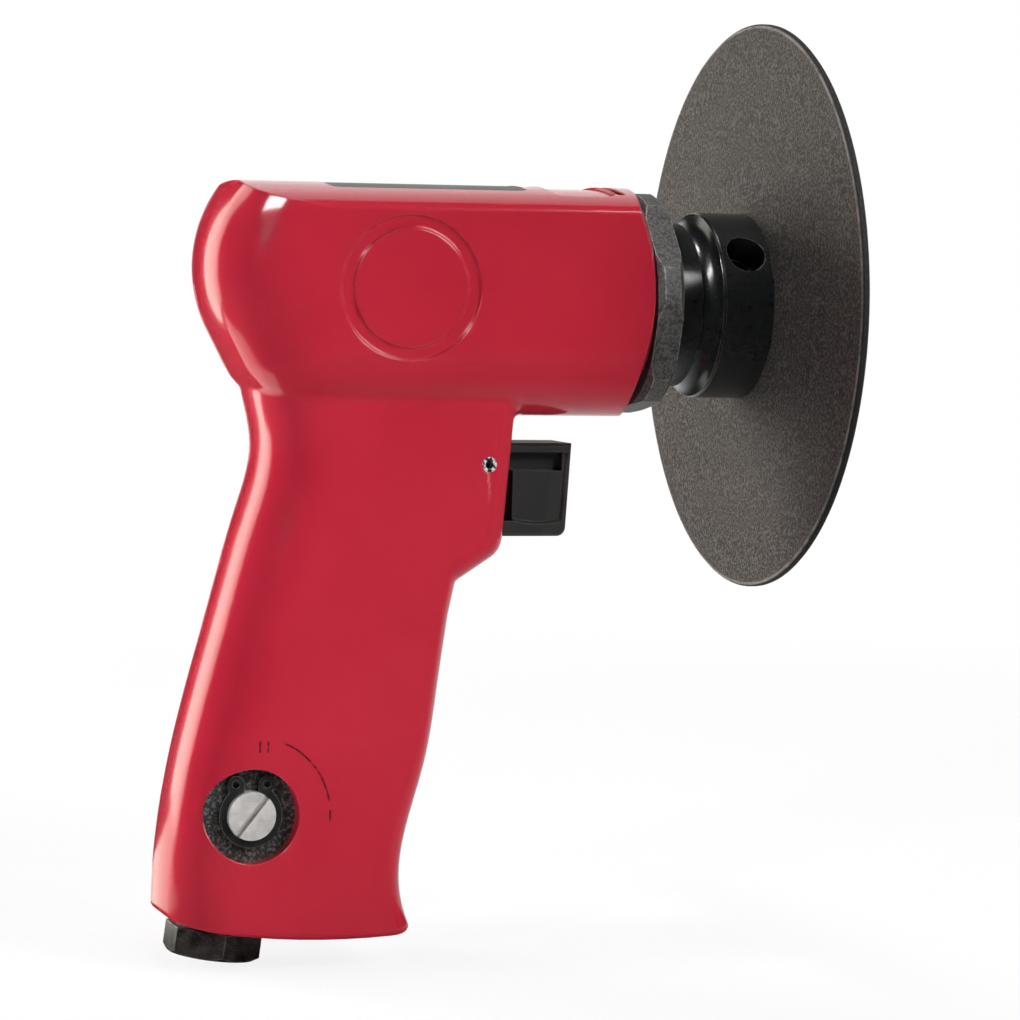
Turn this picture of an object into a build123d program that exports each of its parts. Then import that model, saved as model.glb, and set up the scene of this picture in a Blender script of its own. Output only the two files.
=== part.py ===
from build123d import *
import math
import os

# Pistol-grip air sander with a thin backing pad, every piece as its own solid, in millimetres.
# +X runs out of the pad along the spindle, +Z is up and the grip hangs down and to the rear.
# The origin is the middle of the pad's working face, so nearly everything lies at negative X.

# Fits
RUNNING_FIT = 0.05
SLIDING_GAP = 0.3
END_FLOAT = 0.1
OVERCUT = 1.0
SAME_PLANE = 0.001
NUT_TO_COLLAR = 0.5
NUT_TO_BARREL = 0.7

# Backing pad and drive collar
PAD_RADIUS = 63.5
PAD_RIM = 1.8
PAD_CROWN = 1.8
PAD_EDGE_ROUND = 0.5
PAD_DISH_GAP = 1.0
PAD_DISH_DEPTH = 1.6
COLLAR_RADIUS = 20.8
COLLAR_LENGTH = 11.4
COLLAR_TAPER = 4.4
COLLAR_TAPER_HOLLOW = 0.6
COLLAR_NECK_RADIUS = 17.2
COLLAR_NECK_LENGTH = 6.4
COLLAR_EDGE = 0.6
SPANNER_HOLE_RADIUS = 4.5
SPANNER_HOLE_DEPTH = 9.0
SPANNER_HOLE_RISE = 35.0
DISC_NUT_FLANGE = 1.3
DISC_NUT_SLEEVE_RADIUS = 8.0
DISC_NUT_SLEEVE = 8.0
DISC_NUT_PIN_RADIUS = 1.8
DISC_NUT_PIN_PITCH = 22.0
DISC_NUT_PIN_WALL = 1.2

# Clamp nut that holds the motor in the barrel
NUT_HEX_HEIGHT = 6.0
NUT_CORNER_PROUD = 1.0
NUT_FLAT_INSET = 0.65
NUT_TURN = -10.5
NUT_EDGE = 1.2
NUT_THREAD_LENGTH = 9.0
NUT_BORE_RADIUS = 9.2
SEAL_THICKNESS = 4.0

# Motor
MOTOR_RADIUS = 19.0
CYLINDER_LENGTH = 50.0
CYLINDER_BORE_RADIUS = 15.6
ROTOR_RADIUS = 13.8
ROTOR_GAP = 0.15
VANE_COUNT = 4
VANE_THICKNESS = 2.0
VANE_HEIGHT = 6.2
VANE_PLAY = 0.1
SPINDLE_RADIUS = 6.0
SPINDLE_THREAD_RADIUS = 4.76
TAIL_RADIUS = 5.0
FRONT_PLATE = 12.0
REAR_PLATE = 11.0
BEARING_WIDTH = 8.0
FRONT_BEARING_RADIUS = 14.0
REAR_BEARING_RADIUS = 13.0
RACE_WALL = 2.4
SHIELD_THICKNESS = 0.8
SHIELD_INSET = 0.4
SPACER_RADIUS = 8.5
DOWEL_RADIUS = 1.5
DOWEL_ORBIT = 16.6
DOWEL_BITE = 3.0
CYLINDER_PORT_RADIUS = 2.6

# Barrel
BARREL_TOP = 25.8
BARREL_BOTTOM = -24.8
BARREL_HALF_WIDTH = 24.0
BARREL_ROUND = 15.0
DOME_RADIUS = 30.0
DOME_CENTRE_X = -98.3
DOME_CENTRE_Z = 6.4
DOME_DROP = 28.0
DOME_HEEL_ROUND = 18.0
DECK_CROWN = 62.0
DECK_TILT = 0.5
DECK_ROUND = 2.0
NOSE_INSET = 0.3
NOSE_RISE = 1.8
NOSE_SLOPE = 58.0
MEDALLION_X = -88.7
MEDALLION_Z = 2.8
MEDALLION_RADIUS = 15.7
MEDALLION_BAND = 3.1
MEDALLION_DEPTH = 0.6
MEDALLION_BEVEL = 0.5
PLATE_BEHIND_NOSE = 26.0
PLATE_LENGTH = 44.5
PLATE_HALF_WIDTH = 12.5
PLATE_THICKNESS = 0.8
PLATE_SINK = 0.1
PLATE_CORNER = 2.0
POCKET_BEHIND_NOSE = 6.5
POCKET_LENGTH = 14.5
POCKET_DEPTH = 0.6
POCKET_HALF_WIDTH = 16.5
POCKET_CORNER = 3.0
KEY_SLOT_BEHIND_NOSE = 4.2
KEY_SLOT_WIDTH = 2.0
KEY_SLOT_DEPTH = 1.6
KEY_SLOT_HALF_WIDTH = 15.0
KEY_SLOT_CORNER = 0.9

# Grip, as its side outline
GRIP_HALF_WIDTH = 19.0
GRIP_BACK_ROUND = 12.0
GRIP_FRONT_ROUND = 5.0
GRIP_BASE_ROUND = 1.5
GRIP_ROOT_Z = -12.0
NECK_ROUND = 3.0
NECK_TOP_X = -118.4
NECK_BEND = (-117.1, -22.0)
NECK = (-115.2, -32.0)
SADDLE = (-118.4, -47.0)
PALM = (-124.1, -68.0)
WRIST = (-131.5, -97.5)
HEEL = (-135.6, -134.2)
BASE = (-108.0, -137.8)
TOE = (-82.7, -137.2)
TOE_WAIST = (-85.9, -123.0)
FINGERS = (-80.7, -100.0)
FINGERS_MIDDLE = (-78.1, -83.0)
FINGERS_TOP = (-76.1, -68.0)
GUARD_ROOT = (-74.6, -60.8)
GUARD_TIP = (-64.3, -54.1)
GUARD_ROOT_ROUND = 1.5
GUARD_TIP_ROUND = 6.0
GUARD_FRONT_X = -60.9

# Trigger and throttle valve
TRIGGER_TRAVEL = 5.0
TRIGGER_FRONT = -45.5
TRIGGER_LENGTH = 32.5
TRIGGER_TOP = -31.0
TRIGGER_HEIGHT = 20.6
TRIGGER_HALF_WIDTH = 7.2
TRIGGER_RAKE = 1.1
TRIGGER_EDGE = 0.6
TRIGGER_CHIN_ROUND = 2.0
TRIGGER_RIM = 2.0
TRIGGER_LIP = 3.4
TRIGGER_LIP_SAG = 0.7
TRIGGER_PANEL_LENGTH = 12.6
TRIGGER_PANEL_MARGIN = 0.9
TRIGGER_PANEL_DEPTH = 0.8
TRIGGER_PANEL_DRAFT = 35.0
TRIGGER_GROOVE_HEIGHT = 4.1
TRIGGER_GROOVE_DEPTH = 3.0
TRIGGER_PIN_RADIUS = 1.65
TRIGGER_PIN_HOLE = 0.9
TRIGGER_PIN_X = -68.7
TRIGGER_PIN_Z = -35.1
VALVE_LENGTH = 14.0
VALVE_RADIUS = 8.0
VALVE_GUIDE = 4.0
VALVE_CAVITY_RADIUS = 4.5
VALVE_PORT_RADIUS = 3.0
VALVE_STEM_RADIUS = 2.0
STEM_SEAL_RADIUS = 3.6
STEM_SEAL_THICKNESS = 1.6
VALVE_HEAD_RADIUS = 6.4
VALVE_HEAD_THICKNESS = 3.0
SPRING_LENGTH = 9.5
SPRING_RADIUS = 4.6
SPRING_WIRE = 0.9
SPRING_TURNS = 4.0

# Air regulator, inlet and exhaust low in the grip
GRIP_TILT = 7.0
REGULATOR_X = -120.0
REGULATOR_Z = -110.6
REGULATOR_MOUTH_RADIUS = 10.2
REGULATOR_MOUTH_DEPTH = 6.0
REGULATOR_FACE_SINK = 3.4
REGULATOR_STEM_RADIUS = 5.25
REGULATOR_STEM_SINK = 0.8
REGULATOR_SLOT_WIDTH = 1.2
REGULATOR_SLOT_DEPTH = 1.4
REGULATOR_SLOT_ANGLE = 52.0
REGULATOR_PLUG_RADIUS = 7.6
REGULATOR_PLUG_REACH = 10.5
SNAP_RING_WIDTH = 1.7
SNAP_RING_THICKNESS = 1.1
SNAP_RING_LUG_RADIUS = 1.9
SNAP_RING_LUG_OUT = 0.6
SNAP_RING_LUG_HOLE = 0.8
SNAP_RING_LUG_SPREAD = 27.0
SNAP_RING_GAP = 26.0
SEAL_GROOVE = 1.2
AIRWAY_RADIUS = 5.0
INLET_SEAT = 27.2
INLET_HEX_FLATS = 19.05
INLET_HEX_HEIGHT = 6.0
INLET_HEX_EDGE = 0.9
INLET_SPOTFACE = 2.0
INLET_HEX_TURN = 30.5
INLET_THREAD_RADIUS = 8.4
INLET_THREAD_LENGTH = 12.0
INLET_TAP_RADIUS = 5.65
INLET_TAP_LENGTH = 14.0
SCREEN_THICKNESS = 1.5
SCREEN_HOLE_RADIUS = 0.9
SCREEN_HOLE_ORBIT = 3.2
SCREEN_HOLE_COUNT = 6
EXHAUST_OFFSET = 22.0
EXHAUST_RADIUS = 8.0
EXHAUST_TOP_Z = -57.0
EXHAUST_END = 22.8
EXHAUST_SIDE_Y = 12.2
EXHAUST_SIDE_RADIUS = 2.4
EXHAUST_SIDE_X = -86.0
MUFFLER_LENGTH = 34.0
MUFFLER_BORE_RADIUS = 4.0
DEFLECTOR_THICKNESS = 3.0
DEFLECTOR_HOLE_RADIUS = 1.5
DEFLECTOR_HOLE_ORBIT = 4.8
DEFLECTOR_HOLE_COUNT = 6

# Stations along the spindle, from the pad back to the rear wall of the motor bore
pad_back = -(PAD_RIM + PAD_CROWN)
collar_shoulder = pad_back - COLLAR_LENGTH
collar_neck_front = collar_shoulder - COLLAR_TAPER
collar_rear = collar_neck_front - COLLAR_NECK_LENGTH
nut_front = collar_rear - NUT_TO_COLLAR
nut_rear = nut_front - NUT_HEX_HEIGHT
barrel_front = nut_rear - NUT_TO_BARREL
front_plate_front = nut_rear - NUT_THREAD_LENGTH
cylinder_front = front_plate_front - FRONT_PLATE
cylinder_rear = cylinder_front - CYLINDER_LENGTH
bore_end = cylinder_rear - REAR_PLATE
front_bearing_front = front_plate_front
front_bearing_rear = front_bearing_front - BEARING_WIDTH
rear_bearing_front = bore_end + BEARING_WIDTH
disc_nut_seat = -PAD_DISH_DEPTH
disc_nut_radius = DISC_NUT_PIN_PITCH / 2 + DISC_NUT_PIN_RADIUS + DISC_NUT_PIN_WALL
pad_dish_radius = disc_nut_radius + PAD_DISH_GAP
sleeve_end = disc_nut_seat - DISC_NUT_SLEEVE
spindle_shoulder = sleeve_end - END_FLOAT
bore_offset = CYLINDER_BORE_RADIUS - ROTOR_RADIUS - ROTOR_GAP

# The deck's own frame: its origin is the top of the nose and it falls a little to the rear
deck_tilt = math.radians(DECK_TILT)
deck_length = barrel_front - DOME_CENTRE_X + DOME_RADIUS + 2 * OVERCUT
deck_frame = Plane(
    origin=(barrel_front, 0, BARREL_TOP),
    x_dir=(math.cos(deck_tilt), 0, math.sin(deck_tilt)),
    z_dir=(-math.sin(deck_tilt), 0, math.cos(deck_tilt)))

# Stations along the trigger and its valve
trigger_rear = TRIGGER_FRONT - TRIGGER_LENGTH
trigger_mid_z = TRIGGER_TOP - TRIGGER_HEIGHT / 2
valve_front = trigger_rear - TRIGGER_TRAVEL - SLIDING_GAP
valve_seat = valve_front - VALVE_LENGTH
valve_port_x = (valve_front - VALVE_GUIDE + valve_seat) / 2
head_rear = valve_seat - VALVE_HEAD_THICKNESS
spring_rear = head_rear - SPRING_LENGTH

# The grip's own line, on which the regulator, the inlet and the exhaust are placed
tilt = math.radians(GRIP_TILT)
DOWN_GRIP = Vector(-math.sin(tilt), 0, -math.cos(tilt))
ACROSS_GRIP = Vector(math.cos(tilt), 0, -math.sin(tilt))
regulator_centre = Vector(REGULATOR_X, 0, REGULATOR_Z)
exhaust_top = (REGULATOR_Z - EXHAUST_OFFSET * math.sin(tilt) - EXHAUST_TOP_Z) / math.cos(tilt)


def rod(radius, start, end):
    """A round bar between two points."""
    start = Vector(*start)
    way = Vector(*end) - start
    return Plane(origin=start, z_dir=way) * Cylinder(
        radius, way.length, align=(Align.CENTER, Align.CENTER, Align.MIN))


def rod_x(radius, x_from, x_to, y=0.0, z=0.0):
    """A round bar along X."""
    return rod(radius, (x_from, y, z), (x_to, y, z))


def rod_y(radius, y_from, y_to, x, z):
    """A round bar along Y."""
    return rod(radius, (x, y_from, z), (x, y_to, z))


def rod_grip(radius, down_from, down_to, across=0.0):
    """A round bar along the grip, measured down from the regulator."""
    foot = regulator_centre + ACROSS_GRIP * across
    return rod(radius, foot + DOWN_GRIP * down_from, foot + DOWN_GRIP * down_to)


def turned_x(points):
    """A turned piece on the spindle line, from (x, radius) corners."""
    return revolve(Plane.XZ * make_face(Polyline(*points, close=True)), Axis.X)


def ring_x(outer, inner, x_from, x_to):
    """A plain ring on the spindle line."""
    return turned_x([(x_from, inner), (x_from, outer), (x_to, outer), (x_to, inner)])


def side_plate(outline, half_width):
    """A side outline in X and Z, as thick as the piece is wide."""
    return extrude(Plane.XZ * outline, amount=half_width, both=True)


def edges_on_side(solid, half_width):
    """The edges that lie in the two side planes."""
    return [edge for edge in solid.edges() if abs(abs(edge.center().Y) - half_width) < SAME_PLANE]


def corner(face, point):
    """The corner of an outline nearest to a point."""
    return face.vertices().sort_by_distance((point[0], point[1], 0))[0]


def on_circle(centre, radius, degrees):
    """A point of a circle in the side view."""
    turn = math.radians(degrees)
    return (centre[0] + radius * math.cos(turn), centre[1] + radius * math.sin(turn))


def hex_bar(flats, height):
    """A hexagon bar along local Z."""
    return extrude(RegularPolygon(flats / 2, 6, major_radius=False), amount=height)


def barrel_form():
    """Flat-sided barrel: a rounded slab with a domed rear, a crowned deck and a turned-down nose."""
    dome = (DOME_CENTRE_X, DOME_CENTRE_Z)
    crown_z = DOME_CENTRE_Z + DOME_RADIUS
    crown = (DOME_CENTRE_X, crown_z)
    tail = on_circle(dome, DOME_RADIUS, 180)
    chin = on_circle(dome, DOME_RADIUS, 180 + DOME_DROP)
    heel = (chin[0] + (chin[1] - BARREL_BOTTOM) * math.tan(math.radians(DOME_DROP)), BARREL_BOTTOM)
    nose_low = (barrel_front, BARREL_BOTTOM)
    nose_high = (barrel_front, crown_z)
    outline = make_face([
        Line(nose_high, crown),
        ThreePointArc(crown, tail, chin),
        Line(chin, heel),
        Line(heel, nose_low),
        Line(nose_low, nose_high),
    ])
    outline = fillet(corner(outline, heel), DOME_HEEL_ROUND)
    slab = side_plate(outline, BARREL_HALF_WIDTH)
    long_edges = edges_on_side(slab, BARREL_HALF_WIDTH)
    slab = fillet([e for e in long_edges if e.center().X < barrel_front - OVERCUT], BARREL_ROUND)

    slab &= deck_frame * deck_bar()

    nose_radius = BARREL_HALF_WIDTH - NOSE_INSET
    reach = math.hypot(BARREL_HALF_WIDTH, crown_z)
    slope_run = (reach - nose_radius) / math.tan(math.radians(NOSE_SLOPE))
    nose = turned_x([
        (barrel_front, 0),
        (barrel_front, nose_radius),
        (barrel_front - slope_run, reach),
        (tail[0] - OVERCUT, reach),
        (tail[0] - OVERCUT, 0),
    ])
    return slab & (Pos(0, 0, NOSE_RISE) * nose)


def grip_form():
    """Grip and trigger guard: the side outline, with a round back and softer front edges."""
    neck_top = (NECK_TOP_X, GRIP_ROOT_Z)
    guard_top = (GUARD_FRONT_X, GRIP_ROOT_Z)
    outline = make_face([
        Spline(neck_top, NECK_BEND, NECK, SADDLE, PALM, WRIST, HEEL),
        ThreePointArc(HEEL, BASE, TOE),
        Spline(TOE, TOE_WAIST, FINGERS, FINGERS_MIDDLE, FINGERS_TOP),
        Line(FINGERS_TOP, GUARD_ROOT),
        Line(GUARD_ROOT, GUARD_TIP),
        Line(GUARD_TIP, guard_top),
        Line(guard_top, neck_top),
    ])
    outline = fillet(corner(outline, GUARD_ROOT), GUARD_ROOT_ROUND)
    outline = fillet(corner(outline, GUARD_TIP), GUARD_TIP_ROUND)
    solid = side_plate(outline, GRIP_HALF_WIDTH)

    solid = fillet([e for e in upright_edges(solid) if e.center().X < BASE[0]], GRIP_BACK_ROUND)
    solid = fillet([e for e in upright_edges(solid) if e.center().X > BASE[0]], GRIP_FRONT_ROUND)
    base = solid.faces().sort_by(Axis.Z)[0]
    return fillet(base.edges(), GRIP_BASE_ROUND)


def upright_edges(solid):
    """The long edges of the grip, without those of its base and of its buried top."""
    lowest = HEEL[1] + GRIP_BASE_ROUND
    return [e for e in edges_on_side(solid, GRIP_HALF_WIDTH) if lowest < e.center().Z < GRIP_ROOT_Z - OVERCUT]


def medallion_groove():
    """A plain ring-shaped groove in the near side of the barrel, with sloped walls."""
    side = -BARREL_HALF_WIDTH
    floor = side + MEDALLION_DEPTH
    inner = MEDALLION_RADIUS - MEDALLION_BAND
    band = make_face(Polyline(
        (inner, side - OVERCUT),
        (inner, side),
        (inner + MEDALLION_BEVEL, floor),
        (MEDALLION_RADIUS - MEDALLION_BEVEL, floor),
        (MEDALLION_RADIUS, side),
        (MEDALLION_RADIUS, side - OVERCUT),
        close=True))
    return Pos(MEDALLION_X, 0, MEDALLION_Z) * revolve(band, Axis.Y)


def deck_bar():
    """A flat-sided bar along the deck, with a crowned top and softened upper edges."""
    half = BARREL_HALF_WIDTH
    edge_z = math.sqrt(DECK_CROWN ** 2 - half ** 2) - DECK_CROWN
    floor = BARREL_BOTTOM - BARREL_TOP - DOME_RADIUS
    outline = make_face([
        ThreePointArc((-half, edge_z), (0, 0), (half, edge_z)),
        Polyline((half, edge_z), (half, floor), (-half, floor), (-half, edge_z)),
    ])
    outline = fillet([corner(outline, (side, edge_z)) for side in (-half, half)], DECK_ROUND)
    return Pos(OVERCUT, 0, 0) * extrude(Plane.YZ * outline, amount=-deck_length)


def deck_crown(inset):
    """A round bar whose top lies below the crown of the deck by an inset."""
    return rod_x(DECK_CROWN - inset, OVERCUT - deck_length, OVERCUT, z=-DECK_CROWN)


def deck_column(behind_nose, length, half_width, corner_round):
    """An upright column through the deck, with a rounded outline."""
    sketch = RectangleRounded(length, 2 * half_width, corner_round)
    return Pos(-behind_nose - length / 2, 0, -DECK_CROWN) * extrude(sketch, amount=DECK_CROWN + OVERCUT)


def deck_cut(behind_nose, length, half_width, depth, corner_round):
    """A shallow recess whose floor follows the crown of the deck."""
    column = deck_column(behind_nose, length, half_width, corner_round)
    return deck_frame * (column - deck_crown(depth))


def trigger_way():
    """The slot that the trigger slides in."""
    height = TRIGGER_HEIGHT + 2 * SLIDING_GAP
    width = 2 * (TRIGGER_HALF_WIDTH + SLIDING_GAP)
    sketch = RectangleRounded(width, height, TRIGGER_EDGE)
    length = TRIGGER_FRONT - valve_front
    return Pos(valve_front, 0, trigger_mid_z) * extrude(Plane.YZ * sketch, amount=length)


def housing():
    """The casting: barrel and grip in one piece, with its bores, airways and deck recesses."""
    barrel = barrel_form()
    grip = grip_form()
    body = barrel + grip
    body = fillet(new_edges(barrel, grip, combined=body), NECK_ROUND)
    body -= medallion_groove()

    body -= rod_x(MOTOR_RADIUS, bore_end, barrel_front + OVERCUT)
    body -= rod_x(REAR_BEARING_RADIUS - RACE_WALL, bore_end - SLIDING_GAP, bore_end)
    plate_depth = PLATE_THICKNESS + PLATE_SINK
    body -= deck_cut(PLATE_BEHIND_NOSE, PLATE_LENGTH, PLATE_HALF_WIDTH, plate_depth, PLATE_CORNER)
    body -= deck_cut(POCKET_BEHIND_NOSE, POCKET_LENGTH, POCKET_HALF_WIDTH, POCKET_DEPTH, POCKET_CORNER)
    body -= deck_cut(KEY_SLOT_BEHIND_NOSE, KEY_SLOT_WIDTH, KEY_SLOT_HALF_WIDTH, KEY_SLOT_DEPTH,
                     KEY_SLOT_CORNER)

    body -= trigger_way()
    body -= rod_y(TRIGGER_PIN_RADIUS, -BARREL_HALF_WIDTH, BARREL_HALF_WIDTH, TRIGGER_PIN_X, TRIGGER_PIN_Z)
    body -= rod_x(VALVE_RADIUS, spring_rear, valve_front, z=trigger_mid_z)
    body -= rod(VALVE_PORT_RADIUS, (valve_port_x, 0, trigger_mid_z), (valve_port_x, 0, 0))

    chamber_middle = Vector((valve_seat + spring_rear) / 2, 0, trigger_mid_z)
    body -= rod(AIRWAY_RADIUS, regulator_centre, chamber_middle)
    body -= rod_grip(AIRWAY_RADIUS, 0, INLET_SEAT)
    screen_seat = INLET_SEAT - INLET_THREAD_LENGTH - SCREEN_THICKNESS
    body -= rod_grip(INLET_THREAD_RADIUS, screen_seat, INLET_SEAT)
    body -= rod_grip(INLET_HEX_FLATS / 2 + INLET_SPOTFACE, INLET_SEAT, INLET_SEAT + INLET_HEX_HEIGHT)
    outside = -GRIP_HALF_WIDTH - OVERCUT
    mouth_floor = -GRIP_HALF_WIDTH + REGULATOR_MOUTH_DEPTH
    plug_floor = REGULATOR_PLUG_REACH + END_FLOAT
    body -= rod_y(REGULATOR_MOUTH_RADIUS, outside, mouth_floor, REGULATOR_X, REGULATOR_Z)
    body -= rod_y(REGULATOR_PLUG_RADIUS, outside, plug_floor, REGULATOR_X, REGULATOR_Z)

    body -= rod_grip(EXHAUST_RADIUS, exhaust_top, INLET_SEAT + INLET_HEX_HEIGHT, across=EXHAUST_OFFSET)
    cross_z = EXHAUST_TOP_Z - EXHAUST_SIDE_RADIUS
    for side in (-EXHAUST_SIDE_Y, EXHAUST_SIDE_Y):
        body -= rod(EXHAUST_SIDE_RADIUS, (EXHAUST_SIDE_X, side, cross_z), (EXHAUST_SIDE_X, side, 0))
    body -= rod_y(EXHAUST_SIDE_RADIUS, -EXHAUST_SIDE_Y, EXHAUST_SIDE_Y, EXHAUST_SIDE_X, cross_z)
    return body


def nameplate():
    """A bare plate let into the deck and curved with it."""
    column = deck_column(PLATE_BEHIND_NOSE, PLATE_LENGTH, PLATE_HALF_WIDTH, PLATE_CORNER)
    return deck_frame * (column & deck_crown(PLATE_SINK) - deck_crown(PLATE_SINK + PLATE_THICKNESS))


def clamp_nut():
    """Hex nut with turned corners and a threaded skirt that presses on the motor stack."""
    blank = Plane.YZ * hex_bar(2 * (BARREL_HALF_WIDTH - NUT_FLAT_INSET), NUT_HEX_HEIGHT)
    blank = Pos(nut_rear, 0, 0) * Rot(X=NUT_TURN) * blank
    high = BARREL_HALF_WIDTH + NUT_CORNER_PROUD
    low = high - NUT_EDGE
    turned = turned_x([
        (nut_rear, 0),
        (nut_rear, low),
        (nut_rear + NUT_EDGE, high),
        (nut_front - NUT_EDGE, high),
        (nut_front, low),
        (nut_front, 0),
    ])
    skirt = ring_x(MOTOR_RADIUS, FRONT_BEARING_RADIUS, front_plate_front, nut_rear)
    return (blank & turned) + skirt - rod_x(NUT_BORE_RADIUS, nut_rear, nut_front)


def front_seal():
    """Felt ring inside the clamp nut, round the spindle spacer."""
    return ring_x(FRONT_BEARING_RADIUS, SPACER_RADIUS + SLIDING_GAP, nut_rear - SEAL_THICKNESS, nut_rear)


def end_plate(seat, rear, front, bearing_rear, bearing_front, hole):
    """A motor end plate: a disc with a bearing pocket and a shaft hole."""
    disc = rod_x(MOTOR_RADIUS, rear, front)
    disc -= rod_x(seat, bearing_rear, bearing_front)
    disc -= rod_x(hole, rear, front)
    return disc - cylinder_dowel()


def front_end_plate():
    """End plate with the spindle bearing, open to the front."""
    return end_plate(FRONT_BEARING_RADIUS, cylinder_front, front_plate_front,
                     front_bearing_rear, front_bearing_front, SPINDLE_RADIUS + SLIDING_GAP)


def rear_end_plate():
    """End plate with the tail bearing, open to the rear."""
    return end_plate(REAR_BEARING_RADIUS, bore_end, cylinder_rear,
                     bore_end, rear_bearing_front, TAIL_RADIUS + SLIDING_GAP)


def motor_cylinder():
    """Liner with its bore set below the spindle line, with an inlet port and exhaust ports."""
    liner = rod_x(MOTOR_RADIUS, cylinder_rear, cylinder_front)
    liner -= rod_x(CYLINDER_BORE_RADIUS, cylinder_rear, cylinder_front, z=-bore_offset)
    liner -= rod_x(DOWEL_RADIUS, cylinder_rear, cylinder_front, z=DOWEL_ORBIT)
    liner -= rod(VALVE_PORT_RADIUS, (valve_port_x, 0, -MOTOR_RADIUS), (valve_port_x, 0, 0))
    for side in (-EXHAUST_SIDE_Y, EXHAUST_SIDE_Y):
        liner -= rod(CYLINDER_PORT_RADIUS, (EXHAUST_SIDE_X, side, -MOTOR_RADIUS), (EXHAUST_SIDE_X, side, 0))
    return liner


def cylinder_dowel():
    """Pin that keeps the liner and both end plates in line."""
    return rod_x(DOWEL_RADIUS, cylinder_rear - DOWEL_BITE, cylinder_front + DOWEL_BITE, z=DOWEL_ORBIT)


def bearing_outer(radius, rear, front):
    """Outer race with a shield let into each face."""
    inner = radius - RACE_WALL
    race = ring_x(radius, inner, rear, front)
    shield_edge = inner - RACE_WALL / 2
    for start in (rear + SHIELD_INSET, front - SHIELD_INSET - SHIELD_THICKNESS):
        race += ring_x(inner + RACE_WALL / 2, shield_edge, start, start + SHIELD_THICKNESS)
    return race


def bearing_inner(shaft, rear, front):
    """Inner race on the shaft."""
    return ring_x(shaft + RACE_WALL, shaft, rear, front)


def rotor():
    """Rotor and spindle in one piece: a slotted drum, a tail journal and a threaded nose."""
    drum_rear = cylinder_rear + END_FLOAT
    drum_front = cylinder_front - END_FLOAT
    body = turned_x([
        (bore_end + SLIDING_GAP, 0),
        (bore_end + SLIDING_GAP, TAIL_RADIUS),
        (drum_rear, TAIL_RADIUS),
        (drum_rear, ROTOR_RADIUS),
        (drum_front, ROTOR_RADIUS),
        (drum_front, SPINDLE_RADIUS),
        (spindle_shoulder, SPINDLE_RADIUS),
        (spindle_shoulder, SPINDLE_THREAD_RADIUS),
        (disc_nut_seat, SPINDLE_THREAD_RADIUS),
        (disc_nut_seat, 0),
    ])
    slot = vane_blank(drum_rear, drum_front, VANE_THICKNESS + 2 * VANE_PLAY, VANE_HEIGHT + VANE_PLAY)
    for turn in vane_turns():
        body -= Rot(X=turn) * slot
    return body


def vane_turns():
    """The angles of the vanes round the rotor."""
    return [360 / VANE_COUNT * (number + 0.5) for number in range(VANE_COUNT)]


def vane_blank(rear, front, thickness, height):
    """A flat blade that stands on its slot floor and ends at the rotor's skin."""
    blade = Box(front - rear, thickness, height, align=(Align.MIN, Align.CENTER, Align.MAX))
    return Pos(rear, 0, ROTOR_RADIUS) * blade


def rotor_vane(number):
    """One vane, pushed fully into its slot."""
    rear = cylinder_rear + 2 * END_FLOAT
    front = cylinder_front - 2 * END_FLOAT
    blade = vane_blank(rear, front, VANE_THICKNESS, VANE_HEIGHT)
    skin = rod_x(ROTOR_RADIUS, rear, front)
    return Rot(X=vane_turns()[number]) * (blade & skin)


def spindle_spacer():
    """Tube between the spindle bearing and the collar."""
    return ring_x(SPACER_RADIUS, SPINDLE_RADIUS, front_bearing_front, collar_rear)


def drive_collar():
    """Black collar behind the pad, with a radial hole for a tommy bar."""
    neck = (collar_neck_front, COLLAR_NECK_RADIUS)
    shoulder = (collar_shoulder - COLLAR_EDGE, COLLAR_RADIUS - COLLAR_EDGE / 2)
    outline = make_face([
        Polyline(
            (collar_rear, SPINDLE_RADIUS),
            (collar_rear, COLLAR_NECK_RADIUS - COLLAR_EDGE),
            (collar_rear + COLLAR_EDGE, COLLAR_NECK_RADIUS),
            neck),
        SagittaArc(neck, shoulder, -COLLAR_TAPER_HOLLOW),
        Polyline(
            shoulder,
            (collar_shoulder, COLLAR_RADIUS),
            (pad_back, COLLAR_RADIUS),
            (pad_back, DISC_NUT_SLEEVE_RADIUS + SLIDING_GAP),
            (spindle_shoulder, DISC_NUT_SLEEVE_RADIUS + SLIDING_GAP),
            (spindle_shoulder, SPINDLE_RADIUS),
            (collar_rear, SPINDLE_RADIUS)),
    ])
    body = revolve(Plane.XZ * outline, Axis.X)
    turn = math.radians(SPANNER_HOLE_RISE)
    out = Vector(0, -math.cos(turn), math.sin(turn))
    mouth = Vector((collar_shoulder + pad_back) / 2, 0, 0) + out * COLLAR_RADIUS
    return body - rod(SPANNER_HOLE_RADIUS, mouth - out * SPANNER_HOLE_DEPTH, mouth + out * OVERCUT)


def backing_pad():
    """Thin flexible disc, thicker at the middle of its back and dished for the nut in front."""
    hole = DISC_NUT_SLEEVE_RADIUS + SLIDING_GAP
    return turned_x([
        (pad_back, hole),
        (pad_back, COLLAR_RADIUS),
        (-PAD_RIM, PAD_RADIUS - PAD_EDGE_ROUND),
        (-PAD_RIM + PAD_EDGE_ROUND, PAD_RADIUS),
        (-PAD_EDGE_ROUND, PAD_RADIUS),
        (0, PAD_RADIUS - PAD_EDGE_ROUND),
        (0, pad_dish_radius),
        (disc_nut_seat, pad_dish_radius),
        (disc_nut_seat, hole),
    ])


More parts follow.
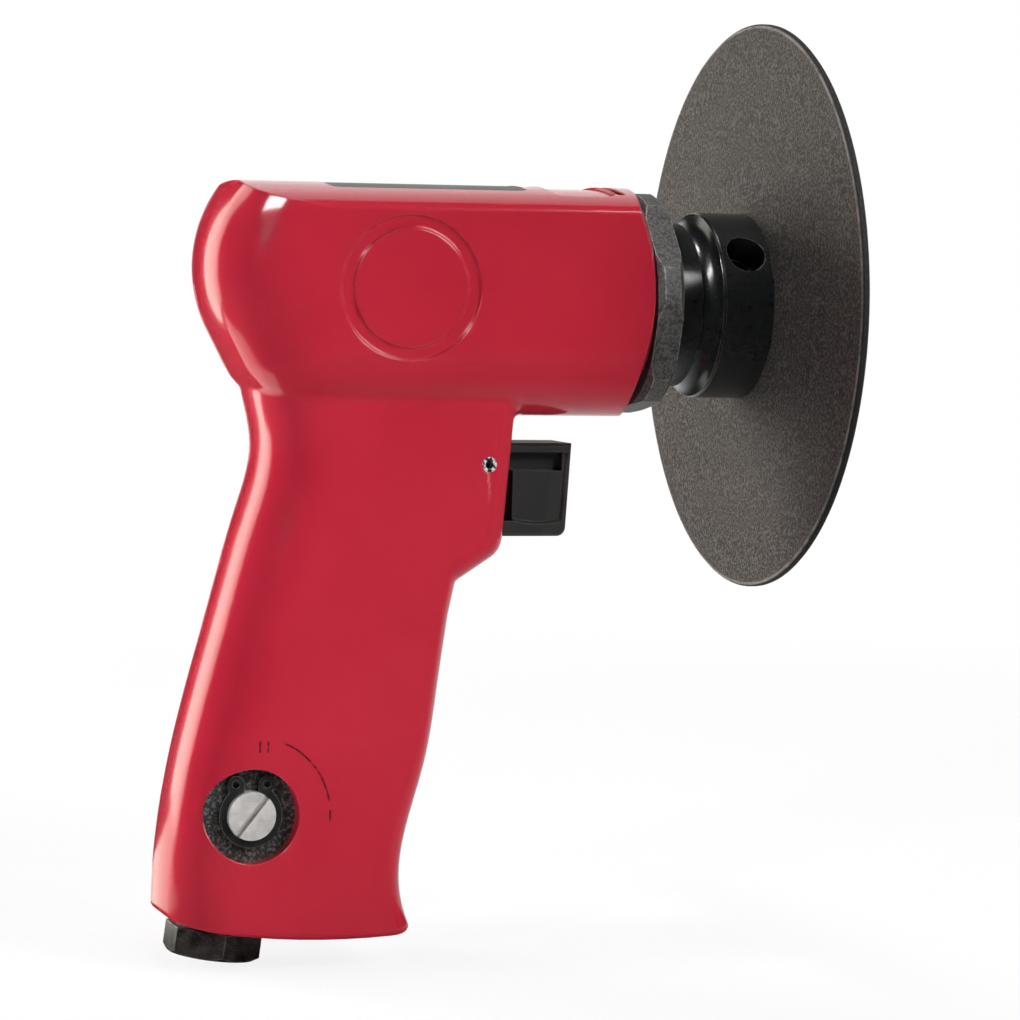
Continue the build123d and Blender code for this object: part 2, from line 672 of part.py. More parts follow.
def disc_nut():
    """Flanged nut on the spindle thread, with two holes for a pin key."""
    body = turned_x([
        (sleeve_end, SPINDLE_THREAD_RADIUS),
        (sleeve_end, DISC_NUT_SLEEVE_RADIUS),
        (disc_nut_seat, DISC_NUT_SLEEVE_RADIUS),
        (disc_nut_seat, disc_nut_radius),
        (disc_nut_seat + DISC_NUT_FLANGE, disc_nut_radius),
        (disc_nut_seat + DISC_NUT_FLANGE, SPINDLE_THREAD_RADIUS),
    ])
    for side in (-DISC_NUT_PIN_PITCH / 2, DISC_NUT_PIN_PITCH / 2):
        body -= rod_x(DISC_NUT_PIN_RADIUS, disc_nut_seat, 0, y=side)
    return body


def trigger():
    """Block trigger with a raked front, a sunk finger panel on each side and a slot for its pin."""
    bottom = TRIGGER_TOP - TRIGGER_HEIGHT
    chin = (TRIGGER_FRONT - TRIGGER_RAKE, bottom)
    outline = make_face(Polyline(
        (TRIGGER_FRONT, TRIGGER_TOP),
        chin,
        (trigger_rear, bottom),
        (trigger_rear, TRIGGER_TOP),
        close=True))
    outline = fillet(corner(outline, chin), TRIGGER_CHIN_ROUND)
    block = side_plate(outline, TRIGGER_HALF_WIDTH)
    block = chamfer(edges_on_side(block, TRIGGER_HALF_WIDTH), TRIGGER_EDGE)

    near = trigger_side_cut()
    block -= near
    block -= mirror(near, about=Plane.XZ)

    slot_radius = TRIGGER_PIN_RADIUS + SLIDING_GAP
    for x in (TRIGGER_PIN_X, TRIGGER_PIN_X + TRIGGER_TRAVEL):
        block -= rod_y(slot_radius, -TRIGGER_HALF_WIDTH, TRIGGER_HALF_WIDTH, x, TRIGGER_PIN_Z)
    window = Box(TRIGGER_TRAVEL, 2 * TRIGGER_HALF_WIDTH, 2 * slot_radius)
    return block - Pos(TRIGGER_PIN_X + TRIGGER_TRAVEL / 2, 0, TRIGGER_PIN_Z) * window


def trigger_side_cut():
    """What is cut from the near side of the trigger: the sunk panel and the grooves above and behind it."""
    top = TRIGGER_TOP - TRIGGER_RIM
    bottom = TRIGGER_TOP - TRIGGER_HEIGHT + TRIGGER_LIP
    front = TRIGGER_FRONT - TRIGGER_PANEL_MARGIN
    front_low = (front - TRIGGER_RAKE, bottom)
    rear_x = trigger_rear - OVERCUT
    panel_rear = front - TRIGGER_PANEL_LENGTH
    sag = ((front_low[0] + panel_rear) / 2, bottom - TRIGGER_LIP_SAG)
    sunk = make_face([
        Polyline((rear_x, bottom), (rear_x, top), (front, top), front_low),
        ThreePointArc(front_low, sag, (panel_rear, bottom)),
        Line((panel_rear, bottom), (rear_x, bottom)),
    ])
    side = Plane(origin=(0, -TRIGGER_HALF_WIDTH, 0), x_dir=(1, 0, 0), z_dir=(0, -1, 0))
    cut = extrude(side * sunk, amount=-TRIGGER_PANEL_DEPTH, taper=TRIGGER_PANEL_DRAFT)

    groove_front = front - TRIGGER_RAKE
    above = Box(groove_front - rear_x, TRIGGER_GROOVE_DEPTH, TRIGGER_GROOVE_HEIGHT,
                align=(Align.MIN, Align.MIN, Align.MAX))
    behind = Box(panel_rear - rear_x, TRIGGER_GROOVE_DEPTH, top - bottom,
                 align=(Align.MIN, Align.MIN, Align.MAX))
    return cut + Pos(rear_x, -TRIGGER_HALF_WIDTH, top) * (above + behind)


def trigger_pin():
    """Hollow spring pin across the guard."""
    reach = GRIP_HALF_WIDTH
    pin = rod_y(TRIGGER_PIN_RADIUS, -reach, reach, TRIGGER_PIN_X, TRIGGER_PIN_Z)
    return pin - rod_y(TRIGGER_PIN_HOLE, -reach, reach, TRIGGER_PIN_X, TRIGGER_PIN_Z)


def valve_bushing():
    """Pressed bushing with a stem guide, an air cavity, a cross port and the valve seat."""
    body = rod_x(VALVE_RADIUS, valve_seat, valve_front, z=trigger_mid_z)
    body -= rod_x(VALVE_STEM_RADIUS + RUNNING_FIT, valve_seat, valve_front, z=trigger_mid_z)
    body -= rod_x(VALVE_CAVITY_RADIUS, valve_seat, valve_front - VALVE_GUIDE, z=trigger_mid_z)
    seal_rear = valve_front - STEM_SEAL_THICKNESS
    body -= rod_x(STEM_SEAL_RADIUS, seal_rear, valve_front, z=trigger_mid_z)
    return body - rod(VALVE_PORT_RADIUS, (valve_port_x, 0, trigger_mid_z),
                      (valve_port_x, 0, trigger_mid_z + VALVE_RADIUS))


def stem_seal():
    """Seal ring round the valve stem, in the front of the bushing."""
    seal_rear = valve_front - STEM_SEAL_THICKNESS
    ring = rod_x(STEM_SEAL_RADIUS, seal_rear, valve_front, z=trigger_mid_z)
    return ring - rod_x(VALVE_STEM_RADIUS + RUNNING_FIT, seal_rear, valve_front, z=trigger_mid_z)


def valve_stem():
    """Push rod from the trigger to the valve head."""
    return rod_x(VALVE_STEM_RADIUS, valve_seat, trigger_rear, z=trigger_mid_z)


def valve_head():
    """Valve disc that closes the seat, with a spigot that centres the spring."""
    head = rod_x(VALVE_HEAD_RADIUS, head_rear, valve_seat, z=trigger_mid_z)
    spigot = SPRING_RADIUS - SPRING_WIRE - SLIDING_GAP
    return head + rod_x(spigot, head_rear - SPRING_WIRE, head_rear, z=trigger_mid_z)


def valve_spring():
    """Square-wire spring between the valve head and the end of its bore."""
    rise = SPRING_LENGTH - SPRING_WIRE
    start = (spring_rear + SPRING_WIRE / 2, 0, trigger_mid_z)
    path = Helix(rise / SPRING_TURNS, rise, SPRING_RADIUS, center=start, direction=(1, 0, 0))
    section = Plane(origin=path @ 0, z_dir=path % 0, x_dir=(1, 0, 0)) * Rectangle(SPRING_WIRE, SPRING_WIRE)
    return sweep(section, path=path, is_frenet=True)


def regulator_bush():
    """Black flange in the mouth of the regulator bore, which keeps the plug in."""
    face = -GRIP_HALF_WIDTH + REGULATOR_FACE_SINK
    floor = -GRIP_HALF_WIDTH + REGULATOR_MOUTH_DEPTH
    flange = rod_y(REGULATOR_MOUTH_RADIUS, face, floor, REGULATOR_X, REGULATOR_Z)
    return flange - rod_y(REGULATOR_STEM_RADIUS + RUNNING_FIT, face, floor, REGULATOR_X, REGULATOR_Z)


def regulator_stem():
    """Slotted stem and rotary plug in one piece, with an airway across the plug."""
    face = -GRIP_HALF_WIDTH + REGULATOR_STEM_SINK
    plug_near = -GRIP_HALF_WIDTH + REGULATOR_MOUTH_DEPTH + END_FLOAT
    body = rod_y(REGULATOR_STEM_RADIUS, face, plug_near, REGULATOR_X, REGULATOR_Z)
    body += rod_y(REGULATOR_PLUG_RADIUS - RUNNING_FIT, plug_near, REGULATOR_PLUG_REACH,
                  REGULATOR_X, REGULATOR_Z)
    slot_length = 2 * (REGULATOR_STEM_RADIUS + OVERCUT)
    slot = Box(slot_length, 2 * REGULATOR_SLOT_DEPTH, REGULATOR_SLOT_WIDTH)
    body -= Pos(REGULATOR_X, face, REGULATOR_Z) * Rot(Y=-REGULATOR_SLOT_ANGLE) * slot
    body -= rod_grip(AIRWAY_RADIUS, -2 * REGULATOR_PLUG_RADIUS, 2 * REGULATOR_PLUG_RADIUS)
    groove = regulator_groove(REGULATOR_PLUG_RADIUS, REGULATOR_PLUG_RADIUS - SEAL_GROOVE)
    return body - groove


def regulator_groove(outer, inner):
    """A ring round the far end of the plug, clear of its airway."""
    middle = (AIRWAY_RADIUS + REGULATOR_PLUG_REACH) / 2
    near = middle - SEAL_GROOVE / 2
    far = middle + SEAL_GROOVE / 2
    ring = rod_y(outer, near, far, REGULATOR_X, REGULATOR_Z)
    return ring - rod_y(inner, near, far, REGULATOR_X, REGULATOR_Z)


def regulator_seal():
    """Seal ring in the groove of the plug."""
    return regulator_groove(REGULATOR_PLUG_RADIUS - RUNNING_FIT, REGULATOR_PLUG_RADIUS - SEAL_GROOVE)


def regulator_snap_ring():
    """Open ring on the stem, with two lugs for pliers."""
    far = -GRIP_HALF_WIDTH + REGULATOR_FACE_SINK - SLIDING_GAP
    near = far - SNAP_RING_THICKNESS
    orbit = REGULATOR_STEM_RADIUS + SNAP_RING_WIDTH
    ring = rod_y(orbit, near, far, REGULATOR_X, REGULATOR_Z)
    centre = (REGULATOR_X, REGULATOR_Z)
    angles = (90 - SNAP_RING_LUG_SPREAD, 90 + SNAP_RING_LUG_SPREAD)
    lugs = [on_circle(centre, orbit + SNAP_RING_LUG_OUT, angle) for angle in angles]
    for x, z in lugs:
        ring += rod_y(SNAP_RING_LUG_RADIUS, near, far, x, z)
    ring -= rod_y(REGULATOR_STEM_RADIUS, near, far, REGULATOR_X, REGULATOR_Z)
    for x, z in lugs:
        ring -= rod_y(SNAP_RING_LUG_HOLE, near, far, x, z)
    gap = 2 * orbit * math.sin(math.radians(SNAP_RING_GAP / 2))
    opening = Box(gap, SNAP_RING_THICKNESS, 2 * orbit, align=(Align.CENTER, Align.MIN, Align.MIN))
    return ring - Pos(REGULATOR_X, near, REGULATOR_Z) * opening


def grip_plane(down, across=0.0):
    """A plane square to the grip, facing down it."""
    origin = regulator_centre + ACROSS_GRIP * across + DOWN_GRIP * down
    return Plane(origin=origin, z_dir=DOWN_GRIP, x_dir=ACROSS_GRIP)


def inlet_bushing():
    """Hex bushing screwed into the base of the grip, tapped for the air line."""
    plane = grip_plane(INLET_SEAT)
    blank = plane * Rot(Z=INLET_HEX_TURN) * hex_bar(INLET_HEX_FLATS, INLET_HEX_HEIGHT)
    reach = INLET_HEX_FLATS / math.sqrt(3)
    low = INLET_HEX_FLATS / 2
    turned = plane * loft([
        Circle(reach),
        Pos(0, 0, INLET_HEX_HEIGHT - INLET_HEX_EDGE) * Circle(reach),
    ])
    turned += plane * loft([
        Pos(0, 0, INLET_HEX_HEIGHT - INLET_HEX_EDGE) * Circle(reach),
        Pos(0, 0, INLET_HEX_HEIGHT) * Circle(low),
    ])
    body = blank & turned
    body += rod_grip(INLET_THREAD_RADIUS, INLET_SEAT - INLET_THREAD_LENGTH, INLET_SEAT)
    end = INLET_SEAT + INLET_HEX_HEIGHT
    body -= rod_grip(INLET_TAP_RADIUS, end - INLET_TAP_LENGTH, end)
    return body - rod_grip(AIRWAY_RADIUS, INLET_SEAT - INLET_THREAD_LENGTH, end)


def inlet_screen():
    """Drilled disc above the inlet bushing."""
    end = INLET_SEAT - INLET_THREAD_LENGTH
    disc = rod_grip(INLET_THREAD_RADIUS, end - SCREEN_THICKNESS, end)
    holes = hole_ring(SCREEN_HOLE_RADIUS, SCREEN_HOLE_ORBIT, SCREEN_HOLE_COUNT, SCREEN_THICKNESS)
    return disc - grip_plane(end - SCREEN_THICKNESS) * holes


def hole_ring(radius, orbit, count, depth):
    """A middle hole and a ring of holes round it, along local Z."""
    places = Circle(radius) + PolarLocations(orbit, count) * Circle(radius)
    return extrude(places, amount=depth)


def exhaust_deflector():
    """Drilled plug that closes the exhaust chamber."""
    start = EXHAUST_END - DEFLECTOR_THICKNESS
    disc = rod_grip(EXHAUST_RADIUS, start, EXHAUST_END, across=EXHAUST_OFFSET)
    holes = hole_ring(DEFLECTOR_HOLE_RADIUS, DEFLECTOR_HOLE_ORBIT, DEFLECTOR_HOLE_COUNT, DEFLECTOR_THICKNESS)
    return disc - grip_plane(start, EXHAUST_OFFSET) * holes


def exhaust_muffler():
    """Sleeve of porous felt above the deflector."""
    end = EXHAUST_END - DEFLECTOR_THICKNESS
    start = end - MUFFLER_LENGTH
    sleeve = rod_grip(EXHAUST_RADIUS, start, end, across=EXHAUST_OFFSET)
    return sleeve - rod_grip(MUFFLER_BORE_RADIUS, start, end, across=EXHAUST_OFFSET)


pieces = {
    "housing": housing(),
    "nameplate": nameplate(),
    "clamp_nut": clamp_nut(),
    "front_seal": front_seal(),
    "front_end_plate": front_end_plate(),
    "rear_end_plate": rear_end_plate(),
    "motor_cylinder": motor_cylinder(),
    "cylinder_dowel": cylinder_dowel(),
    "front_bearing_outer": bearing_outer(FRONT_BEARING_RADIUS, front_bearing_rear, front_bearing_front),
    "front_bearing_inner": bearing_inner(SPINDLE_RADIUS, front_bearing_rear, front_bearing_front),
    "rear_bearing_outer": bearing_outer(REAR_BEARING_RADIUS, bore_end, rear_bearing_front),
    "rear_bearing_inner": bearing_inner(TAIL_RADIUS, bore_end, rear_bearing_front),
    "rotor": rotor(),
    "spindle_spacer": spindle_spacer(),
    "drive_collar": drive_collar(),
    "backing_pad": backing_pad(),
    "disc_nut": disc_nut(),
    "trigger": trigger(),
    "trigger_pin": trigger_pin(),
    "valve_bushing": valve_bushing(),
    "stem_seal": stem_seal(),
    "valve_stem": valve_stem(),
    "valve_head": valve_head(),
    "valve_spring": valve_spring(),
    "regulator_bush": regulator_bush(),
    "regulator_stem": regulator_stem(),
    "regulator_seal": regulator_seal(),
    "regulator_snap_ring": regulator_snap_ring(),
    "inlet_bushing": inlet_bushing(),
    "inlet_screen": inlet_screen(),
    "exhaust_deflector": exhaust_deflector(),
    "exhaust_muffler": exhaust_muffler(),
}
for number in range(VANE_COUNT):
    pieces[f"rotor_vane_{number + 1}"] = rotor_vane(number)

os.makedirs("parts", exist_ok=True)
for name, piece in pieces.items():
    export_step(piece, f"parts/{name}.step")
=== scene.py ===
"""Finishes, small forms and studio for a pistol-grip air sander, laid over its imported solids.

The solids keep their shape and place. Every length is in metres, in the frame of the solids: the
origin is the middle of the pad's working face, +X runs out of the pad and +Z is up.
"""
import math

import bpy
import numpy as np
from bpy.props import FloatProperty, FloatVectorProperty, PointerProperty
from mathutils import Matrix, Vector


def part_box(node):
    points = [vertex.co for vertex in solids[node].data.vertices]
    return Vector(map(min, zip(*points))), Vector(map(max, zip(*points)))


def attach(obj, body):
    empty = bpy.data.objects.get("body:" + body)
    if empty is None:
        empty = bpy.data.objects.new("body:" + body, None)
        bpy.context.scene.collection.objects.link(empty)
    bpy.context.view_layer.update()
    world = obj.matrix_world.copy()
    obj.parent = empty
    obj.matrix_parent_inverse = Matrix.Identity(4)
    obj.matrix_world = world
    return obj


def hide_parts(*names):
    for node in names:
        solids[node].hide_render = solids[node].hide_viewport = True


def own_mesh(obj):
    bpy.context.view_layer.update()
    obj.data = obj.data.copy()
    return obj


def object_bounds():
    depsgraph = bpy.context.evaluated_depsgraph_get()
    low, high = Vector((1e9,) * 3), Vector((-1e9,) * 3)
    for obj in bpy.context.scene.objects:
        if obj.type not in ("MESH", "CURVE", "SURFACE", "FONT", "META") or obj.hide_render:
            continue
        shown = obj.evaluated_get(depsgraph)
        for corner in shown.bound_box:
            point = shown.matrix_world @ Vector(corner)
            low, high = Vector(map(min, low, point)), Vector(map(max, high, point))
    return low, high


bl_info = {
    "name": "Air sander finishes",
    "version": (1, 0, 0),
    "blender": (4, 5, 0),
    "location": "View3D > Sidebar > Sander",
    "description": "Finishes, small forms and studio for a pistol-grip air sander",
    "category": "Object",
}

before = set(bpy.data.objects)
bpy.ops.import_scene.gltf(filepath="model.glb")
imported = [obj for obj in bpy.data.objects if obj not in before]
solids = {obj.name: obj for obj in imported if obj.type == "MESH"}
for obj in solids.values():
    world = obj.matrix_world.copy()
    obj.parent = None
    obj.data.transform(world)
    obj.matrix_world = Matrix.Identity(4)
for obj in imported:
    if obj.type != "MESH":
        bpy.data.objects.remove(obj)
solid_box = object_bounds()

# Places on the solids that a finish or a small form is lined up with
REGULATOR_X = -0.1200
REGULATOR_Z = -0.1106
PIN_X = -0.0687
PIN_Z = -0.0351
NEAR_SIDE_Y = -0.0180
NEAR_SIDE_BLUR = 0.0003
GRIP_TILT = math.radians(7.0)
BACK_CROWN_RADIUS = 0.060

# Engraved scale, with its bars given as right and up from the middle of the regulator
SCALE_START = math.radians(11)
SCALE_END = math.radians(68)
SCALE_END_BLUR = 0.02
OPEN_BARS = ((0.0012, 0.0150), (0.0030, 0.0150))
CLOSED_BAR_UP = -0.0002
BAR_HALF_HEIGHT = 0.0012
BAR_END_BLUR = 0.0001
SCALE_DEPTH = 0.0002

# Rubbed streak below the trigger pin, with its ends given as depths below the pin
SCUFF_WIDTH = 0.0007
SCUFF_WANDER = 0.0012
SCUFF_TOP = (0.0010, 0.0018)
SCUFF_FADE = (0.0090, 0.0025)

# How far in from the pad's edge the black rim starts and is full
RIM_START = 0.0004
RIM_FULL = 0.0002

# Inlet thread, with its margin and half width as shares of the pitch, and its run-out as a share of its steps
INLET_MOUTH = 0.0332
INLET_TAP_RADIUS = 0.00565
INLET_TAP_LENGTH = 0.0140
THREAD_MARGIN = 0.6
THREAD_HALF_WIDTH = 0.46
THREAD_STEPS = 640
THREAD_RUN_OUT = 0.06

# Valve spring, and collar lip with its hidden bore as a share of its radius
SPRING_TURNS = 4.0
STEPS_PER_TURN = 40
LIP_BORE_SHARE = 0.85

# Fineness of the meshes and of the rounded edges
WIRE_SIDES = 12
RING_SIDES = 128
SHARP_ANGLE = math.radians(40.0)
BEVEL_SAMPLES = 6

# Camera, with its focal length in pixels of a picture of that width
CAMERA_PLACE = (-0.3180, -0.7559, 0.0096)
CAMERA_YAW = math.radians(-19.033)
CAMERA_PITCH = math.radians(4.0)
CAMERA_ROLL = math.radians(1.3815)
PICTURE_WIDTH = 1020
FOCAL_PIXELS = 3600
SENSOR_MILLIMETRES = 36.0

# Studio
WHITE = (1.0, 1.0, 1.0)
WARM_WHITE = (1.0, 0.97, 0.86)
FLOOR_REACH = 4.0
FLOOR_GAP = 0.0003


def colour_setting(name, description, default):
    """A colour that a user can change, as linear values."""
    return FloatVectorProperty(
        name=name, description=description, subtype="COLOR", size=4, min=0, max=1, default=default)


def length_setting(name, description, lowest, default):
    """A length that a user can change."""
    return FloatProperty(name=name, description=description, unit="LENGTH", min=lowest, default=default)


class SanderColours(bpy.types.PropertyGroup):
    """Base colours of the finishes."""

    enamel: colour_setting("Enamel", "Gloss paint of the housing", (0.450, 0.020, 0.039, 1))
    enamel_deep: colour_setting("Enamel, deep", "Paint where it lies thicker", (0.420, 0.017, 0.034, 1))
    phosphate: colour_setting("Phosphate", "Dark coating of the clamp nut", (0.062, 0.061, 0.058, 1))
    black_oxide: colour_setting("Black oxide", "Coating of collar, ring and pin", (0.011, 0.012, 0.013, 1))
    steel: colour_setting("Steel", "Bare ground steel", (0.52, 0.51, 0.49, 1))
    pad: colour_setting("Pad", "Fibre-filled rubber of the pad", (0.047, 0.042, 0.038, 1))
    plastic: colour_setting("Plastic", "Moulding of the trigger", (0.026, 0.027, 0.026, 1))
    brass: colour_setting("Brass", "Turned brass of the valve", (0.56, 0.38, 0.14, 1))
    iron: colour_setting("Iron", "Machined iron of the motor", (0.17, 0.165, 0.16, 1))
    felt: colour_setting("Felt", "Felt of the front seal and the muffler", (0.42, 0.40, 0.35, 1))
    rubber: colour_setting("Rubber", "Rubber of the small seals", (0.018, 0.018, 0.018, 1))
    laminate: colour_setting("Laminate", "Laminate of the rotor's vanes", (0.22, 0.12, 0.055, 1))


class SanderSizes(bpy.types.PropertyGroup):
    """True sizes of wear, edges, marks and small forms."""

    peel: length_setting("Orange peel", "Width of a ripple in the paint", 0.0001, 0.0008)
    wear: length_setting("Edge wear", "How far wear reaches in from an edge", 0.0001, 0.0006)
    soft_edge: length_setting("Soft edge", "Radius of the smallest machined edges", 0.00005, 0.00025)
    paint_edge: length_setting("Paint edge", "Radius of the casting's edges under the paint", 0.0001, 0.0006)
    spring_wire: length_setting("Spring wire", "Thickness of the valve spring's wire", 0.0002, 0.0009)
    lip_radius: length_setting("Lip radius", "Radius of the lip round the collar's neck", 0.0173, 0.0183)
    lip_length: length_setting("Lip length", "Length of the lip round the collar's neck", 0.002, 0.0064)
    scale_radius: length_setting("Scale radius", "Radius of the engraved regulator scale", 0.012, 0.0170)
    scale_line: length_setting("Scale line", "Width of the engraved lines", 0.0001, 0.0004)
    thread_pitch: length_setting("Thread pitch", "Pitch of the thread in the inlet", 0.0005, 0.00141)
    thread_height: length_setting("Thread height", "Height of the thread in the inlet", 0.0002, 0.0008)


class Recipe:
    """A node tree being filled: each call adds nodes and gives what the last one puts out."""

    def __init__(self, tree):
        self.tree = tree

    def node(self, kind, **settings):
        """A new node with its settings."""
        added = self.tree.nodes.new("ShaderNode" + kind)
        for name, value in settings.items():
            setattr(added, name, value)
        return added

    def feed(self, socket, value):
        """Links a socket, or sets a plain value on it."""
        if isinstance(value, bpy.types.NodeSocket):
            self.tree.links.new(value, socket)
        else:
            socket.default_value = value

    def place(self):
        """The point on the piece, in metres."""
        return self.node("TexCoord").outputs["Object"]

    def stretched(self, scale, turn=(0.0, 0.0, 0.0)):
        """The point on the piece, stretched and then turned."""
        added = self.node("Mapping")
        self.feed(added.inputs["Vector"], self.place())
        self.feed(added.inputs["Rotation"], turn)
        self.feed(added.inputs["Scale"], scale)
        return added.outputs[0]

    def axes(self, place):
        """The three numbers of a point."""
        split = self.node("SeparateXYZ")
        self.feed(split.inputs[0], place)
        return split.outputs[0], split.outputs[1], split.outputs[2]

    def math(self, operation, first, second=0.0):
        """One sum."""
        added = self.node("Math", operation=operation)
        self.feed(added.inputs[0], first)
        self.feed(added.inputs[1], second)
        return added.outputs[0]

    def times(self, first, *others):
        """A number multiplied by others."""
        product = first
        for other in others:
            product = self.math("MULTIPLY", product, other)
        return product

    def distance(self, across, up):
        """The distance that two numbers at right angles make."""
        return self.math("SQRT", self.math("ADD", self.times(across, across), self.times(up, up)))

    def between(self, value, low, high, start=0.0, end=1.0):
        """A value brought from low..high to start..end, and held at the ends."""
        added = self.node("MapRange", clamp=True)
        for socket, number in zip(added.inputs[:5], (value, low, high, start, end)):
            self.feed(socket, number)
        return added.outputs[0]

    def spread(self, mask, start, end):
        """A mask brought from 0..1 to start..end."""
        return self.between(mask, 0.0, 1.0, start, end)

    def noise(self, place, scale, detail=2.0, roughness=0.5):
        """Cloudy noise about a half."""
        added = self.node("TexNoise")
        self.feed(added.inputs["Vector"], place)
        self.feed(added.inputs["Scale"], scale)
        self.feed(added.inputs["Detail"], detail)
        self.feed(added.inputs["Roughness"], roughness)
        return added.outputs[0]

    def mix(self, amount, first, second):
        """One colour laid over another."""
        added = self.node("Mix", data_type="RGBA")
        self.feed(added.inputs[0], amount)
        self.feed(added.inputs[6], first)
        self.feed(added.inputs[7], second)
        return added.outputs[2]

    def effect(self, group, **values):
        """A shared effect with its own values, as its one output."""
        added = self.node("Group", node_tree=group)
        for name, value in values.items():
            self.feed(added.inputs[name], value)
        return added.outputs[0]

    def bump(self, height, distance, strength, normal=None):
        """A relief of that height."""
        added = self.node("Bump")
        self.feed(added.inputs["Strength"], strength)
        self.feed(added.inputs["Distance"], distance)
        self.feed(added.inputs["Height"], height)
        if normal is not None:
            self.feed(added.inputs["Normal"], normal)
        return added.outputs[0]

    def soft_edge(self, radius):
        """The normal with sharp edges read as rounded."""
        rounded = self.node("Bevel", samples=BEVEL_SAMPLES)
        self.feed(rounded.inputs["Radius"], radius)
        return rounded.outputs[0]

    def lay(self, surface, **layers):
        """Feeds a surface shader. Each layer is named as its socket, with underscores for spaces."""
        for name, value in layers.items():
            self.feed(surface.inputs[name.replace("_", " ")], value)


def new_effect(name, inputs, output):
    """An empty shared effect with number inputs and one number output, as its group and recipe."""
    group = bpy.data.node_groups.new(name, "ShaderNodeTree")
    for label, default in inputs.items():
        socket = group.interface.new_socket(label, in_out="INPUT", socket_type="NodeSocketFloat")
        socket.default_value = default
    group.interface.new_socket(output, in_out="OUTPUT", socket_type="NodeSocketFloat")
    entry = group.nodes.new("NodeGroupInput")
    leave = group.nodes.new("NodeGroupOutput")
    return group, Recipe(group), entry.outputs, leave.inputs[0]


def grain_effect():
    """Even speckle: cloudy noise at one over the grain size, steepened about its middle."""
    group, recipe, entry, leave = new_effect("Grain", {"Size": 0.0005, "Contrast": 2.0}, "Mask")
    scale = recipe.math("DIVIDE", 1.0, entry["Size"])
    cloud = recipe.noise(recipe.place(), scale, detail=3.0, roughness=0.6)
    steep = recipe.times(recipe.math("SUBTRACT", cloud, 0.5), entry["Contrast"])
    recipe.feed(leave, recipe.between(recipe.math("ADD", steep, 0.5), 0.0, 1.0))
    return group


def wear_effect():
    """Rubbed edges: where the rounded normal leaves the true one, broken up into patches."""
    inputs = {"Width": 0.0006, "Patch": 0.002, "Amount": 1.0, "Start": 0.985, "Full": 0.90}
    group, recipe, entry, leave = new_effect("Edge wear", inputs, "Mask")
    turn = recipe.node("VectorMath", operation="DOT_PRODUCT")
    recipe.feed(turn.inputs[0], recipe.soft_edge(entry["Width"]))
    recipe.feed(turn.inputs[1], recipe.node("NewGeometry").outputs["Normal"])
    edge = recipe.between(turn.outputs["Value"], entry["Start"], entry["Full"])
    scale = recipe.math("DIVIDE", 1.0, entry["Patch"])
    patch = recipe.between(recipe.noise(recipe.place(), scale, detail=4.0, roughness=0.7), 0.40, 0.58)
    recipe.feed(leave, recipe.times(edge, patch, entry["Amount"]))
    return group


def scratch_effect():
    """Fine scratches along x: noise drawn out forty times, laid three times over and cut to its crests."""
    inputs = {"Length": 0.02, "Level": 0.70}
    group, recipe, entry, leave = new_effect("Scratches", inputs, "Mask")
    scale = recipe.math("DIVIDE", 1.0, entry["Length"])
    total = 0.0
    for turn in ((0.3, 0.4, 0.9), (1.1, -0.5, 0.2), (-0.6, 0.9, 1.7)):
        streak = recipe.noise(recipe.stretched((1.0, 40.0, 40.0), turn), scale, detail=1.0)
        crest = recipe.math("SUBTRACT", streak, entry["Level"])
        total = recipe.math("ADD", total, recipe.between(crest, 0.0, 0.05))
    recipe.feed(leave, recipe.math("MINIMUM", total, 1.0))
    return group


def turning_effect():
    """Lathe marks: noise read along x plus the distance from the spindle line."""
    group, recipe, entry, leave = new_effect("Turning marks", {"Pitch": 0.0003}, "Height")
    x, y, z = recipe.axes(recipe.place())
    along = recipe.math("ADD", x, recipe.distance(y, z))
    lines = recipe.node("TexNoise", noise_dimensions="1D")
    recipe.feed(lines.inputs["W"], recipe.math("DIVIDE", along, entry["Pitch"]))
    recipe.feed(lines.inputs["Scale"], 1.0)
    recipe.feed(leave, lines.outputs[0])
    return group


def shared(name):
    """A shared effect, made when it is first asked for."""
    makers = {
        "Grain": grain_effect,
        "Edge wear": wear_effect,
        "Scratches": scratch_effect,
        "Turning marks": turning_effect,
    }
    return bpy.data.node_groups.get(name) or makers[name]()


def empty_recipe(owner):
    """The emptied node tree of a material or a world, as a recipe."""
    owner.use_nodes = True
    owner.node_tree.nodes.clear()
    return Recipe(owner.node_tree)


def new_finish(name):
    """An empty material, as the material, its recipe and its surface shader."""
    material = bpy.data.materials.new(name)
    recipe = empty_recipe(material)
    surface = recipe.node("BsdfPrincipled")
    recipe.feed(recipe.node("OutputMaterial").inputs["Surface"], surface.outputs[0])
    return material, recipe, surface


def toned(colour, factor):
    """A colour made darker or lighter by a factor."""
    return tuple(part * factor for part in colour[:3]) + (1,)


def line_mask(recipe, distance, width):
    """One inside a line of that width, from the distance to its middle."""
    away = recipe.math("ABSOLUTE", distance)
    return recipe.between(away, 0.35 * width, 0.65 * width, 1.0, 0.0)


def span_mask(recipe, value, low, high, blur):
    """One while a value lies from low to high."""
    rise = recipe.between(value, low - blur, low + blur)
    fall = recipe.between(value, high - blur, high + blur, 1.0, 0.0)
    return recipe.times(rise, fall)


def near_side(recipe, y):
    """One on the side of the casting that carries the scale."""
    return recipe.between(y, NEAR_SIDE_Y, NEAR_SIDE_Y - NEAR_SIDE_BLUR)


